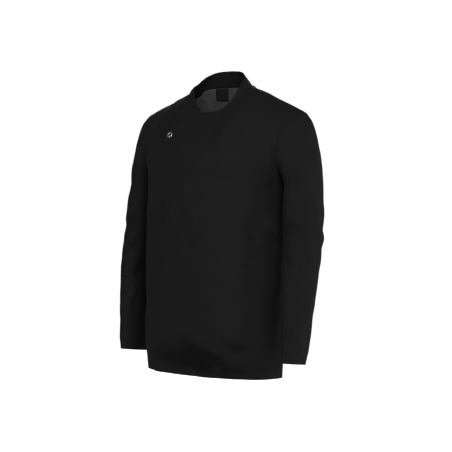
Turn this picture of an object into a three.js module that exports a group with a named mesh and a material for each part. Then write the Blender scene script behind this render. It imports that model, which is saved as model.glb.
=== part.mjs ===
// Chef jacket as worn, hollow, in black twill with a stand collar and an asymmetric wrapped front.
// Millimetres, Z up. The wearer faces -Y and the wearer's left is +X.
// The origin is the centre of the neck opening, level with the shoulder beside the neck.

import * as THREE from "three";

// Cloth and seams
const WALL = 1.6;
const SEAM_GAP = 0.3;
const LAP_GAP = 1.1;
const LINING_WALL = 1.0;
const LINING_GAP = 0.9;
const LABEL_WALL = 0.8;
const LABEL_GAP = 0.5;

// Heights and widths of the body
const HEM_Z = -703;
const HEM_DROP_BACK = 0.095;
const HEM_DROP_LEFT = 0.0165;
const UNDERARM_Z = -214;
const SIDE_SEAM_Y = -25;

// Horizontal sections of the body, from the hem to the underarm
const TORSO = [
  { z: -703, halfWidth: 174, widestY: -47, frontY: -195, backY: 79, frontPower: 2.35, backPower: 2.25 },
  { z: -640, halfWidth: 177, widestY: -46, frontY: -198, backY: 79, frontPower: 2.45, backPower: 2.25 },
  { z: -520, halfWidth: 177, widestY: -46, frontY: -198, backY: 78, frontPower: 2.45, backPower: 2.25 },
  { z: -400, halfWidth: 176, widestY: -44, frontY: -197, backY: 77, frontPower: 2.45, backPower: 2.3 },
  { z: -300, halfWidth: 175.5, widestY: -38, frontY: -196, backY: 78, frontPower: 2.4, backPower: 2.4 },
  { z: -245, halfWidth: 177, widestY: -31, frontY: -194, backY: 80, frontPower: 2.35, backPower: 2.6 },
  { z: -214, halfWidth: 181, widestY: -27, frontY: -190, backY: 81, frontPower: 2.35, backPower: 2.7 },
];

// The neck: where the collar is sewn on (base) and its free edge (rim), by degrees round from the back
const NECK = { halfWidth: 83.6, centreY: -24.5, halfDepth: 76 };
const RIM = { halfWidth: 63.5, centreY: -32, halfDepth: 67 };
const NECK_HEIGHTS = [
  { turn: 0, baseRight: 11, baseLeft: 11, rimRight: 51, rimLeft: 51 },
  { turn: 30, baseRight: 10, baseLeft: 11, rimRight: 48.5, rimLeft: 46.5 },
  { turn: 60, baseRight: 5, baseLeft: 9, rimRight: 36, rimLeft: 33 },
  { turn: 90, baseRight: -4, baseLeft: 5.5, rimRight: 14.5, rimLeft: 13 },
  { turn: 105, baseRight: -10, baseLeft: -13, rimRight: 7, rimLeft: -8 },
  { turn: 120, baseRight: -20, baseLeft: -35, rimRight: 0, rimLeft: -29 },
  { turn: 135, baseRight: -34, baseLeft: -50, rimRight: -16, rimLeft: -46 },
  { turn: 150, baseRight: -48, baseLeft: -57.5, rimRight: -36, rimLeft: -55 },
  { turn: 165, baseRight: -58, baseLeft: -60.5, rimRight: -53, rimLeft: -58.5 },
  { turn: 180, baseRight: -61.5, baseLeft: -61.5, rimRight: -60, rimLeft: -60 },
];
const COLLAR_ROWS = 3;
const COLLAR_BULGE = 2.5;

// Shoulder seam from the neck to the tip, which slopes a little more on the wearer's right
const SHOULDER = [
  { x: 83.6, y: -24.5, zLeft: 5.5, zRight: -4 },
  { x: 108, y: -20, zLeft: -2.5, zRight: -14.5 },
  { x: 130, y: -16, zLeft: -12.5, zRight: -23 },
  { x: 150, y: -12, zLeft: -22, zRight: -30 },
  { x: 190, y: -6, zLeft: -40.5, zRight: -44 },
  { x: 228, y: -2, zLeft: -60, zRight: -60 },
];

// Armhole edge from the underarm (share 0) to the shoulder tip (share 1)
const ARMHOLE_FRONT = [
  { share: 0, x: 181, y: -25, z: -214 },
  { share: 0.17, x: 183, y: -61, z: -203 },
  { share: 0.35, x: 186, y: -82, z: -171 },
  { share: 0.55, x: 191.5, y: -80, z: -130 },
  { share: 0.75, x: 203, y: -58, z: -92 },
  { share: 0.89, x: 217, y: -28, z: -69 },
  { share: 1, x: 228, y: -2, z: -60 },
];
const ARMHOLE_BACK = [
  { share: 0, x: 181, y: -25, z: -214 },
  { share: 0.17, x: 184, y: 11, z: -205 },
  { share: 0.35, x: 189, y: 45, z: -178 },
  { share: 0.55, x: 197, y: 63, z: -136 },
  { share: 0.75, x: 208, y: 53, z: -97 },
  { share: 0.89, x: 220, y: 26, z: -71 },
  { share: 1, x: 228, y: -2, z: -60 },
];

// Sections of the left sleeve from just under the armhole to the cuff; the right one is its mirror
const SLEEVE = [
  { z: -674, centreX: 233.5, centreY: -75, halfWide: 19.5, halfDeep: 52.5 },
  { z: -636, centreX: 236.5, centreY: -69, halfWide: 23, halfDeep: 55 },
  { z: -554, centreX: 236.5, centreY: -58.5, halfWide: 30, halfDeep: 60.5 },
  { z: -472, centreX: 236, centreY: -45, halfWide: 36, halfDeep: 65 },
  { z: -390, centreX: 234, centreY: -27.5, halfWide: 40.5, halfDeep: 69.5 },
  { z: -308, centreX: 230, centreY: -13.5, halfWide: 41.5, halfDeep: 73.5 },
  { z: -240, centreX: 224.5, centreY: -3, halfWide: 37.5, halfDeep: 75 },
];
const SLEEVE_POWER = 2.2;
const SLEEVE_LEAN = 0.16;
const CAP_END_Z = -240;
const CAP_ROWS = 7;
const SLEEVE_ROWS = 13;

// The wrapped front: the left front's upper edge runs from the neck to its corner over the right chest
const LAP_TOP = [
  { reach: 0, z: -61.5 },
  { reach: 10, z: -63 },
  { reach: 22, z: -69 },
  { reach: 40, z: -78.5 },
  { reach: 58, z: -86.5 },
  { reach: 77, z: -88.8 },
  { reach: 94, z: -91 },
  { reach: 104, z: -95 },
  { reach: 112, z: -102 },
];
// Its free edge, by height, as the share of the way from the centre front to the side seam
const LAP_EDGE = [
  { z: -703, u: 0.394 },
  { z: -600, u: 0.357 },
  { z: -512, u: 0.347 },
  { z: -390, u: 0.322 },
  { z: -310, u: 0.298 },
  { z: -238, u: 0.284 },
  { z: -204, u: 0.286 },
  { z: -152, u: 0.332 },
  { z: -123, u: 0.381 },
  { z: -108, u: 0.411 },
  { z: -92, u: 0.418 },
];
const LIFT_FADE_ACROSS = 0.25;
const LIFT_FADE_UP = 0.45;

// Soft folds pressed into the fronts: a trough has a depth, a ridge a negative one
const FRONT_FOLDS = [
  { x0: -76, z0: -645, x1: 125, z1: -693, width: 20, depth: 7 },
  { x0: 45, z0: -700, x1: 140, z1: -664, width: 16, depth: -4 },
  { x0: 79, z0: -619, x1: 165, z1: -636, width: 16, depth: 3 },
];
// Soft folds in a sleeve, by its height and the degrees round from its inner side towards the front
const SLEEVE_FOLDS = [
  { z: -352, turn: 95, spread: 50, width: 15, depth: 6 },
  { z: -392, turn: 80, spread: 40, width: 13, depth: 4.5 },
  { z: -372, turn: 225, spread: 45, width: 16, depth: -3 },
];

// Snap on the lap, and the bare label inside the back of the neck
const SNAP = { x: -73.5, z: -116, outerRadius: 7.75, holeRadius: 3, height: 2.4, seat: 0.5 };
// Lining and label by grid rows above the underarm and grid columns from the centre back
const LINING = { reachU: 0.9, rows: [2, 3, 4, 5, 6, 7, 8, 8.85] };
const LABEL = { rows: [7.15, 8, 8.8], columns: [-4.5, -4, -3, -2, -1.4] };

// Grid lines shared by every panel: across (0 centre, 1 side or armhole) and up (0 hem, 1 underarm, 2 top)
const NECK_U = 0.36;
const NECK_STEPS = 8;
const SHOULDER_STEPS = 11;
const LAP_STEPS = NECK_STEPS + 1;
const UPPER_STEPS = 9;
const LOWER_LEVELS = [0, 0.05, 0.1, 0.15, 0.21, 0.29, 0.39, 0.51, 0.64, 0.77, 0.88, 0.95];

const HALF_US = [];
for (let i = 0; i < NECK_STEPS; i += 1) {
  HALF_US.push((NECK_U * i) / NECK_STEPS);
}
for (let i = 0; i <= SHOULDER_STEPS; i += 1) {
  HALF_US.push(NECK_U + ((1 - NECK_U) * i) / SHOULDER_STEPS);
}
const LAP_U = HALF_US[LAP_STEPS];

// A smooth value between the rows of a table, read along one of its columns
function between(rows, by, want, name) {
  const last = rows.length - 1;
  let i = 0;
  while (i < last - 1 && want > rows[i + 1][by]) {
    i += 1;
  }
  const slope = (j) => {
    const low = Math.max(j - 1, 0);
    const high = Math.min(j + 1, last);
    return (rows[high][name] - rows[low][name]) / (rows[high][by] - rows[low][by]);
  };
  const span = rows[i + 1][by] - rows[i][by];
  const t = THREE.MathUtils.clamp((want - rows[i][by]) / span, 0, 1);
  const start = rows[i][name] * (1 + 2 * t) * (1 - t) ** 2 + slope(i) * span * t * (1 - t) ** 2;
  const end = rows[i + 1][name] * t ** 2 * (3 - 2 * t) - slope(i + 1) * span * t ** 2 * (1 - t);
  return start + end;
}

function pointBetween(rows, by, want, zName = "z") {
  const [x, y, z] = ["x", "y", zName].map((name) => between(rows, by, want, name));
  return new THREE.Vector3(x, y, z);
}

function hermite(start, startPull, end, endPull, t) {
  const point = start.clone().multiplyScalar((1 + 2 * t) * (1 - t) ** 2);
  point.addScaledVector(startPull, t * (1 - t) ** 2);
  point.addScaledVector(end, t ** 2 * (3 - 2 * t));
  return point.addScaledVector(endPull, -(t ** 2) * (1 - t));
}

// Body sections, below the underarm
function ringPoint(z, angle) {
  const ring = (name) => between(TORSO, "z", z, name);
  const isFront = Math.cos(angle) > 0;
  const depth = isFront ? ring("widestY") - ring("frontY") : ring("backY") - ring("widestY");
  const power = isFront ? ring("frontPower") : ring("backPower");
  const across = (Math.abs(Math.sin(angle)) / ring("halfWidth")) ** power;
  const along = (Math.abs(Math.cos(angle)) / depth) ** power;
  const reach = (across + along) ** (-1 / power);
  return new THREE.Vector3(reach * Math.sin(angle), ring("widestY") - reach * Math.cos(angle), z);
}

function lowerPoint(face, u, h) {
  const z = THREE.MathUtils.lerp(HEM_Z, UNDERARM_Z, h);
  const behind = SIDE_SEAM_Y - between(TORSO, "z", z, "widestY");
  const seam = Math.PI / 2 + Math.atan(behind / between(TORSO, "z", z, "halfWidth"));
  const point = ringPoint(z, face === "front" ? u * seam : Math.PI - u * (Math.PI - seam));
  const drop = HEM_DROP_BACK * (point.y - TORSO[0].frontY) + HEM_DROP_LEFT * point.x;
  point.z -= (1 - h) * drop;
  return point;
}

// The neck's base and rim
function neckHeight(kind, turn, u) {
  const side = u < 0 ? "Right" : "Left";
  return between(NECK_HEIGHTS, "turn", turn, kind + side);
}

function onNeck(oval, turn, u, z) {
  const angle = THREE.MathUtils.degToRad(turn);
  const x = Math.sign(u || 1) * oval.halfWidth * Math.sin(angle);
  return new THREE.Vector3(x, oval.centreY + oval.halfDepth * Math.cos(angle), z);
}

function neckTurn(face, u) {
  const quarter = (90 * Math.abs(u)) / NECK_U;
  return face === "front" ? 180 - quarter : quarter;
}

// Upper boundary of a panel: the neck's base, then the shoulder seam
function topPoint(face, u) {
  if (Math.abs(u) <= NECK_U) {
    const turn = neckTurn(face, u);
    return onNeck(NECK, turn, u, neckHeight("base", turn, u));
  }
  const share = (Math.abs(u) - NECK_U) / (1 - NECK_U);
  const first = SHOULDER[0];
  const tip = SHOULDER[SHOULDER.length - 1];
  const x = THREE.MathUtils.lerp(first.x, tip.x, share);
  const point = pointBetween(SHOULDER, "x", x, u < 0 ? "zRight" : "zLeft");
  point.x *= Math.sign(u);
  return point;
}

// Body above the underarm: columns bent from the chest section up to the neck or shoulder,
// drawn over to the armhole's edge at the sides
const RISE = { front: 165, back: 150 };
const CREST = {
  front: { neckY: 95, neckZ: 120, shoulderY: 150, shoulderZ: 0, tipY: 130 },
  back: { neckY: -45, neckZ: 130, shoulderY: -360, shoulderZ: -30, tipY: -130 },
};

function columnPoint(face, u, t) {
  const shoulderward = 1 - Math.cos((Math.PI / 2) * Math.min(Math.abs(u) / NECK_U, 1));
  const crest = CREST[face];
  const tipward = THREE.MathUtils.smoothstep(Math.abs(u), NECK_U, 1);
  const shoulderY = THREE.MathUtils.lerp(crest.shoulderY, crest.tipY, tipward);
  const pullY = THREE.MathUtils.lerp(crest.neckY, shoulderY, shoulderward);
  const pullZ = THREE.MathUtils.lerp(crest.neckZ, crest.shoulderZ * (1 - tipward), shoulderward);
  const endPull = new THREE.Vector3(0, pullY, pullZ);
  const startPull = new THREE.Vector3(0, 0, RISE[face]);
  return hermite(lowerPoint(face, u, 1), startPull, topPoint(face, u), endPull, t);
}

function upperPoint(face, u, t) {
  const side = Math.sign(u || 1);
  const edge = pointBetween(face === "front" ? ARMHOLE_FRONT : ARMHOLE_BACK, "share", t);
  edge.x *= side;
  const drawn = edge.sub(columnPoint(face, side, t));
  const fall = 1.2 + 2.5 * (1 - t) ** 2;
  const weight = THREE.MathUtils.smoothstep(Math.abs(u), 0.3, 1) ** fall;
  return columnPoint(face, u, t).addScaledVector(drawn, weight);
}

function smoothBody(face, u, h) {
  return h <= 1 ? lowerPoint(face, u, h) : upperPoint(face, u, h - 1);
}

// Depth of the soft folds at a place on the front
function foldDepth(point) {
  let depth = 0;
  for (const fold of FRONT_FOLDS) {
    const along = new THREE.Vector2(fold.x1 - fold.x0, fold.z1 - fold.z0);
    const from = new THREE.Vector2(point.x - fold.x0, point.z - fold.z0);
    const share = THREE.MathUtils.clamp(from.dot(along) / along.lengthSq(), 0, 1);
    const off = from.addScaledVector(along, -share).length() / fold.width;
    depth += fold.depth * Math.exp(-(off ** 2)) * (0.25 + 0.75 * Math.sin(Math.PI * share));
  }
  return depth;
}

const NORMAL_STEP = 0.002;

function bodyNormal(face, u, h) {
  const uLow = Math.max(u - NORMAL_STEP, -1);
  const uHigh = Math.min(u + NORMAL_STEP, 1);
  const hLow = Math.max(h - NORMAL_STEP, 0);
  const hHigh = Math.min(h + NORMAL_STEP, 2);
  const across = smoothBody(face, uHigh, h).sub(smoothBody(face, uLow, h));
  const up = smoothBody(face, u, hHigh).sub(smoothBody(face, u, hLow));
  const normal = across.cross(up).normalize();
  return face === "front" ? normal : normal.negate();
}

// The outer side of the inner front, or of the back; lift moves a point out from it
function bodyPoint(face, u, h, lift = 0) {
  const point = smoothBody(face, u, h);
  const pressed = face === "front" ? foldDepth(point) : 0;
  return point.addScaledVector(bodyNormal(face, u, h), lift - pressed);
}

// Columns of the left front past the centre close up towards its free edge
function slideToEdge(u, h) {
  if (u >= 0) {
    return u;
  }
  const { z } = smoothBody("front", u, h);
  return (u * between(LAP_EDGE, "z", THREE.MathUtils.clamp(z, HEM_Z, -92), "u")) / LAP_U;
}

const stay = (u) => u;

// Height share of a front's upper edge where it wraps past the centre, solved from LAP_TOP
function lapTop(u, slide = stay) {
  let low = 0.2;
  let high = 1;
  for (let i = 0; i < 30; i += 1) {
    const middle = (low + high) / 2;
    const point = upperPoint("front", slide(u, 1 + middle), middle);
    const edge = between(LAP_TOP, "reach", Math.abs(point.x), "z");
    if (point.z < edge) {
      low = middle;
    } else {
      high = middle;
    }
  }
  return Math.min(low, 1);
}

// The left front lies on the right one: full lift where they overlap, none at its seams
function lapLift(u, h) {
  const past = Math.max(u - LAP_U, 0) / LIFT_FADE_ACROSS;
  const above = u > 0 ? Math.max(h - 1 - lapTop(Math.min(u, LAP_U)), 0) : 0;
  const away = Math.hypot(past, above / LIFT_FADE_UP);
  return (WALL + LAP_GAP) * (1 - THREE.MathUtils.smoothstep(away, 0.02, 1));
}

// Panel grids: rows run up, columns run from the wearer's right to left
function levels(top) {
  const list = [...LOWER_LEVELS];
  for (let j = 0; j <= UPPER_STEPS; j += 1) {
    list.push(1 + (top * j) / UPPER_STEPS);
  }
  return list;
}

function panelRows(us, face, topOf, liftOf, slide = stay) {
  const columns = us.map((u) => levels(topOf(u)).map((h) => {
    const across = slide(u, h);
    return bodyPoint(face, across, h, liftOf(across, h));
  }));
  return columns[0].map((_, j) => columns.map((column) => column[j]));
}

const mirrored = (list) => list.map((value) => -value).reverse();
const ALL_US = [...mirrored(HALF_US.slice(1)), ...HALF_US];
const LEFT_FRONT_US = [...mirrored(HALF_US.slice(1, LAP_STEPS + 1)), ...HALF_US];
const RIGHT_FRONT_US = mirrored(LEFT_FRONT_US);

const noLift = () => 0;
const backRows = panelRows(ALL_US, "back", () => 1, noLift);
const leftTop = (u) => (u < 0 ? lapTop(u, slideToEdge) : 1);
const leftFrontRows = panelRows(LEFT_FRONT_US, "front", leftTop, lapLift, slideToEdge);
const rightFrontRows = panelRows(RIGHT_FRONT_US, "front", (u) => (u > 0 ? lapTop(u) : 1), noLift);

// Collar: from the fronts' and back's own upper edges to the rim
function collarRows() {
  const stations = [];
  for (let i = 1; i < NECK_STEPS; i += 1) {
    const base = rightFrontRows.at(-1)[RIGHT_FRONT_US.indexOf(-HALF_US[i])];
    stations.push({ turn: neckTurn("front", HALF_US[i]), side: -1, base });
  }
  for (let i = -NECK_STEPS; i <= NECK_STEPS; i += 1) {
    const u = Math.sign(i) * HALF_US[Math.abs(i)];
    const base = backRows.at(-1)[ALL_US.indexOf(i === 0 ? 0 : u)];
    stations.push({ turn: neckTurn("back", u), side: Math.sign(i), base });
  }
  for (let i = NECK_STEPS - 1; i > 0; i -= 1) {
    const base = leftFrontRows.at(-1)[LEFT_FRONT_US.indexOf(HALF_US[i])];
    stations.push({ turn: neckTurn("front", HALF_US[i]), side: 1, base });
  }
  const rows = [];
  for (let j = 0; j <= COLLAR_ROWS; j += 1) {
    const share = j / COLLAR_ROWS;
    rows.push(stations.map(({ turn, side, base }) => {
      const rim = onNeck(RIM, turn, side, neckHeight("rim", turn, side));
      const out = new THREE.Vector3(base.x, base.y - NECK.centreY, 0).normalize();
      const bulge = COLLAR_BULGE * Math.sin(Math.PI * share) * Math.min(base.distanceTo(rim) / 40, 1);
      return base.clone().lerp(rim, share).addScaledVector(out, bulge);
    }));
  }
  return rows;
}

// Sleeve: from the armhole's own points over the cap, then down to the cuff
function sleeveRing(z, share) {
  const at = (name) => between(SLEEVE, "z", z, name);
  const angle = share * 2 * Math.PI;
  const cos = Math.cos(angle);
  const sin = Math.sin(angle);
  const size = (Math.abs(cos) ** SLEEVE_POWER + Math.abs(sin) ** SLEEVE_POWER) ** (-1 / SLEEVE_POWER);
  let pressed = 0;
  for (const fold of SLEEVE_FOLDS) {
    const round = (share * 360 - fold.turn) / fold.spread;
    const up = (z - fold.z) / fold.width;
    pressed += fold.depth * Math.exp(-(round ** 2) - up ** 2);
  }
  const x = at("centreX") - size * cos * (at("halfWide") - pressed);
  const aside = -size * sin * (at("halfDeep") - pressed);
  // Sections lean with the sleeve, square to the way it runs forward and down
  const lean = SLEEVE_LEAN * THREE.MathUtils.smoothstep(-z, -CAP_END_Z, -SLEEVE[0].z);
  return new THREE.Vector3(x, at("centreY") + aside, z - lean * aside);
}

function sleeveRows() {
  const hole = [];
  for (let j = 0; j <= UPPER_STEPS; j += 1) {
    hole.push(leftFrontRows[LOWER_LEVELS.length + j].at(-1));
  }
  for (let j = UPPER_STEPS - 1; j > 0; j -= 1) {
    hole.push(backRows[LOWER_LEVELS.length + j].at(-1));
  }
  const centre = new THREE.Vector3(195, -5, -140);
  const rows = [];
  for (let i = 0; i < CAP_ROWS; i += 1) {
    rows.push(hole.map((start, k) => {
      const end = sleeveRing(CAP_END_Z, k / hole.length);
      const chord = start.distanceTo(end);
      const radial = start.clone().sub(centre).setX(0).normalize();
      const startPull = new THREE.Vector3(1, 0.3 * radial.y, -0.3).multiplyScalar(0.55 * chord);
      const endPull = new THREE.Vector3(0, 0, -0.85 * chord);
      return hermite(start, startPull, end, endPull, i / CAP_ROWS);
    }));
  }
  const cuffZ = SLEEVE[0].z;
  for (let i = 0; i <= SLEEVE_ROWS; i += 1) {
    const z = THREE.MathUtils.lerp(CAP_END_Z, cuffZ, i / SLEEVE_ROWS);
    rows.push(hole.map((_, k) => sleeveRing(z, k / hole.length)));
  }
  return rows;
}

// Outward directions of a grid of points; a tube's columns close on themselves
function gridNormals(rows, isTube, sign) {
  const width = rows[0].length;
  return rows.map((row, j) => row.map((_, i) => {
    const before = isTube ? (i + width - 1) % width : Math.max(i - 1, 0);
    const after = isTube ? (i + 1) % width : Math.min(i + 1, width - 1);
    const low = rows[Math.max(j - 1, 0)][i];
    const high = rows[Math.min(j + 1, rows.length - 1)][i];
    const across = row[after].clone().sub(row[before]);
    return across.cross(high.clone().sub(low)).normalize().multiplyScalar(sign);
  }));
}

// Where panels meet they share one outward direction, so that their walls end face to face
const seamDirections = new Map();
const seamKey = (point) => point.toArray().map((value) => value.toFixed(2)).join(" ");

function borderPlaces(piece) {
  const places = [];
  const lastRow = piece.rows.length - 1;
  const lastColumn = piece.rows[0].length - 1;
  piece.rows.forEach((row, j) => row.forEach((_, i) => {
    const onSide = !piece.isTube && (i === 0 || i === lastColumn);
    if (onSide || j === 0 || j === lastRow) {
      places.push([j, i]);
    }
  }));
  return places;
}

function noteBorders(piece) {
  for (const [j, i] of borderPlaces(piece)) {
    const key = seamKey(piece.rows[j][i]);
    const sum = seamDirections.get(key) ?? new THREE.Vector3();
    seamDirections.set(key, sum.add(piece.normals[j][i]));
  }
}

function shareBorders(piece) {
  for (const [j, i] of borderPlaces(piece)) {
    const sum = seamDirections.get(seamKey(piece.rows[j][i]));
    if (sum.length() > 0.3) {
      piece.normals[j][i] = sum.clone().normalize();
    }
  }
}

// Draws each sewn edge back by half the gap, square to the seam
function drawBack(piece) {
  const { rows, isTube, seams } = piece;
  const width = rows[0].length;
  const own = gridNormals(rows, isTube, 1);
  const moves = [];
  const note = (j, i, inJ, inI, alongLow, alongHigh) => {
    const along = alongHigh.clone().sub(alongLow);
    const inward = own[j][i].clone().cross(along).normalize();
    if (inward.dot(rows[inJ][inI].clone().sub(rows[j][i])) < 0) {
      inward.negate();
    }
    moves.push([j, i, inward.multiplyScalar(SEAM_GAP / 2)]);
  };
  for (let i = 0; i < width; i += 1) {
    const before = isTube ? (i + width - 1) % width : Math.max(i - 1, 0);
    const after = isTube ? (i + 1) % width : Math.min(i + 1, width - 1);
    for (const [edge, j, inJ] of [["bottom", 0, 1], ["top", rows.length - 1, rows.length - 2]]) {
      if (seams.includes(edge)) {
        note(j, i, inJ, i, rows[j][before], rows[j][after]);
      }
    }
  }
  for (let j = 0; j < rows.length; j += 1) {
    const low = Math.max(j - 1, 0);
    const high = Math.min(j + 1, rows.length - 1);
    for (const [edge, i, inI] of [["right", 0, 1], ["left", width - 1, width - 2]]) {
      if (seams.includes(edge)) {
        note(j, i, j, inI, rows[low][i], rows[high][i]);
      }
    }
  }
  for (const [j, i, move] of moves) {
    rows[j][i] = rows[j][i].clone().add(move);
  }
}

// A closed wall from a grid of outer points and their outward directions
function wallGeometry({ rows, normals, isTube, thickness }) {
  const width = rows[0].length;
  const outer = rows.flat();
  const inner = outer.map((point, k) => point.clone().addScaledVector(normals.flat()[k], -thickness));
  const positions = [...outer, ...inner].flatMap((point) => point.toArray());
  const indices = [];
  const quad = (a, b, c, d) => indices.push(a, b, c, a, c, d);
  const columns = isTube ? width : width - 1;
  const count = outer.length;
  // A rim face is split across the same way on both pieces of a seam
  const order = (k) => outer[k].y + 0.7 * outer[k].z + 0.3 * Math.abs(outer[k].x);
  const rim = (a, b) => {
    if (order(a) < order(b)) {
      quad(a, count + a, count + b, b);
    } else {
      quad(count + a, count + b, b, a);
    }
  };
  for (let j = 0; j + 1 < rows.length; j += 1) {
    for (let i = 0; i < columns; i += 1) {
      const a = j * width + i;
      const b = j * width + ((i + 1) % width);
      quad(a, b, b + width, a + width);
      quad(count + a, count + a + width, count + b + width, count + b);
    }
  }
  for (let i = 0; i < columns; i += 1) {
    const next = (i + 1) % width;
    const top = (rows.length - 1) * width;
    rim(i, next);
    rim(top + next, top + i);
  }
  for (let j = 0; !isTube && j + 1 < rows.length; j += 1) {
    const a = j * width;
    const b = a + width - 1;
    rim(a + width, a);
    rim(b, b + width);
  }
  const geometry = new THREE.BufferGeometry();
  geometry.setAttribute("position", new THREE.Float32BufferAttribute(positions, 3));
  geometry.setIndex(signedVolume(positions, indices) < 0 ? indices.reverse() : indices);
  geometry.computeVertexNormals();
  return geometry;
}

function signedVolume(positions, indices) {
  const corner = (k) => new THREE.Vector3().fromArray(positions, 3 * indices[k]);
  let volume = 0;
  for (let k = 0; k < indices.length; k += 3) {
    volume += corner(k).dot(corner(k + 1).cross(corner(k + 2))) / 6;
  }
  return volume;
}

// Materials
const material = (color, roughness, metalness) =>
  new THREE.MeshStandardMaterial({ color, roughness, metalness });
const TWILL = material(0x1d1d1e, 0.85, 0);
const MESH_KNIT = material(0x303032, 0.9, 0);
const WOVEN_TAPE = material(0x121213, 0.6, 0);
const STEEL = material(0xb9babc, 0.3, 1);

const jacket = new THREE.Group();

function addMesh(name, geometry, look) {
  const mesh = new THREE.Mesh(geometry, look);
  mesh.name = name;
  jacket.add(mesh);
  return mesh;
}

// Sewn panels
const leftSleeveRows = sleeveRows();
const rightSleeveRows = leftSleeveRows.map((row) =>
  row.map((point) => new THREE.Vector3(-point.x, point.y, point.z)));
const PANELS = [
  { name: "back_panel", rows: backRows, sign: -1, seams: ["left", "right", "top"] },
  { name: "front_right_panel", rows: rightFrontRows, sign: 1, seams: ["right", "top"] },
  { name: "front_left_panel", rows: leftFrontRows, sign: 1, seams: ["left", "top"] },
  { name: "sleeve_right", rows: rightSleeveRows, isTube: true, sign: 1, seams: ["bottom"] },
  { name: "sleeve_left", rows: leftSleeveRows, isTube: true, sign: -1, seams: ["bottom"] },
  { name: "stand_collar", rows: collarRows(), sign: -1, seams: ["bottom"] },
];
for (const panel of PANELS) {
  panel.isTube = Boolean(panel.isTube);
  panel.thickness = WALL;
  panel.normals = gridNormals(panel.rows, panel.isTube, panel.sign);
  noteBorders(panel);
}
for (const panel of PANELS) {
  shareBorders(panel);
  drawBack(panel);
  addMesh(panel.name, wallGeometry(panel), TWILL);
}

// Mesh knit lining across the upper back, and the bare label sewn to it: both are made from
// the back panel's own points, moved inwards
function backPlace(row, column) {
  const j = Math.min(Math.floor(row), PANELS[0].rows.length - 2);
  const i = Math.min(Math.floor(column), ALL_US.length - 2);
  const mix = (grid) => {
    const low = grid[j][i].clone().lerp(grid[j][i + 1], column - i);
    const high = grid[j + 1][i].clone().lerp(grid[j + 1][i + 1], column - i);
    return low.lerp(high, row - j);
  };
  return [mix(PANELS[0].rows), mix(PANELS[0].normals)];
}

function insideBack(rowPlaces, columnPlaces, inset, thickness) {
  const places = rowPlaces.map((row) => columnPlaces.map((column) => backPlace(row, column)));
  const rows = places.map((line) => line.map(([point, out]) => point.addScaledVector(out, -inset)));
  const normals = places.map((line) => line.map(([, out]) => out));
  return wallGeometry({ rows, normals, isTube: false, thickness });
}

const centreColumn = HALF_US.length - 1;
const liningInset = WALL + LINING_GAP;
const liningRows = LINING.rows.map((row) => LOWER_LEVELS.length + row);
const liningColumns = ALL_US.map((_, i) => i).filter((i) => Math.abs(ALL_US[i]) < LINING.reachU);
addMesh("back_lining", insideBack(liningRows, liningColumns, liningInset, LINING_WALL), MESH_KNIT);

const labelRows = LABEL.rows.map((row) => LOWER_LEVELS.length + row);
const labelColumns = LABEL.columns.map((column) => centreColumn + column);
const labelInset = liningInset + LINING_WALL + LABEL_GAP;
addMesh("neck_label", insideBack(labelRows, labelColumns, labelInset, LABEL_WALL), WOVEN_TAPE);

// Ring snap, seated on the lap
function frontPlace(x, z) {
  let u = x / 240;
  let h = 1.5;
  for (let i = 0; i < 60; i += 1) {
    const point = bodyPoint("front", u, h, lapLift(u, h));
    u += (x - point.x) / 400;
    h += (z - point.z) / 400;
  }
  return [u, h];
}

const [snapU, snapH] = frontPlace(SNAP.x, SNAP.z);
const snapOut = bodyNormal("front", snapU, snapH);
const snapPoint = bodyPoint("front", snapU, snapH, lapLift(snapU, snapH) + SNAP.seat);
const ringWidth = SNAP.outerRadius - SNAP.holeRadius;
const ringProfile = [
  [SNAP.holeRadius, 0],
  [SNAP.outerRadius, 0],
  [SNAP.outerRadius, 0.35 * SNAP.height],
  [SNAP.outerRadius - 0.15 * ringWidth, 0.75 * SNAP.height],
  [SNAP.outerRadius - 0.4 * ringWidth, SNAP.height],
  [SNAP.holeRadius + 0.3 * ringWidth, SNAP.height],
  [SNAP.holeRadius, 0.6 * SNAP.height],
  [SNAP.holeRadius, 0],
].map(([radius, height]) => new THREE.Vector2(radius, height));
const snap = addMesh("snap_ring", new THREE.LatheGeometry(ringProfile, 28), STEEL);
snap.position.copy(snapPoint);
snap.quaternion.setFromUnitVectors(new THREE.Vector3(0, 1, 0), snapOut);

export default jacket;
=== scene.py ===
# %% [markdown]
# A black chef jacket, worn but with nobody in it.
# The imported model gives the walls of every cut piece. Here each of them gets a cloth piece of its own on
# the same form, much finer, with its folds, turned edges, rows of stitches and weave.
# Blender works in metres, and so does this script from the moment a mesh is made. The pattern itself is
# written in millimetres, because that is how a cutter writes it down.

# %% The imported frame
import math

import bmesh
import bpy
import numpy as np
from mathutils import Matrix, Vector


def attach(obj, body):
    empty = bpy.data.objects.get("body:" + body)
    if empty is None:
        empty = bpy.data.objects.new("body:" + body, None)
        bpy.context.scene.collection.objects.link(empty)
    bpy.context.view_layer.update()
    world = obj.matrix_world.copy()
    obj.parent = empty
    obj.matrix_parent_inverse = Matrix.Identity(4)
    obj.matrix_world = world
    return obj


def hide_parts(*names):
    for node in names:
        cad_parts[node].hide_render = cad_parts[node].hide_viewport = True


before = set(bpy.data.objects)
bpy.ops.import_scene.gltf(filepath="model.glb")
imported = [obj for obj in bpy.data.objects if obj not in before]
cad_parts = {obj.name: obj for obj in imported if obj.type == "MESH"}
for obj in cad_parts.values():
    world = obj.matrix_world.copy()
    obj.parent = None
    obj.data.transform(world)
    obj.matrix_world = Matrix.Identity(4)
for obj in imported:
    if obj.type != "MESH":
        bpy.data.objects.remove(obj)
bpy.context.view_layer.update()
MM = 0.001
print("nodes:", ", ".join(sorted(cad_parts)))

# %% [markdown]
# The camera. A product photo of a jacket is taken from a few metres away at chest height with a long lens,
# so that neither the near shoulder nor the hem looks swollen. The wearer faces -Y, and the camera stands
# 30 degrees round towards the wearer's left. A lens of about 96 mm on a 36 mm sensor at 3.1 m fits the
# jacket into the frame.

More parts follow.
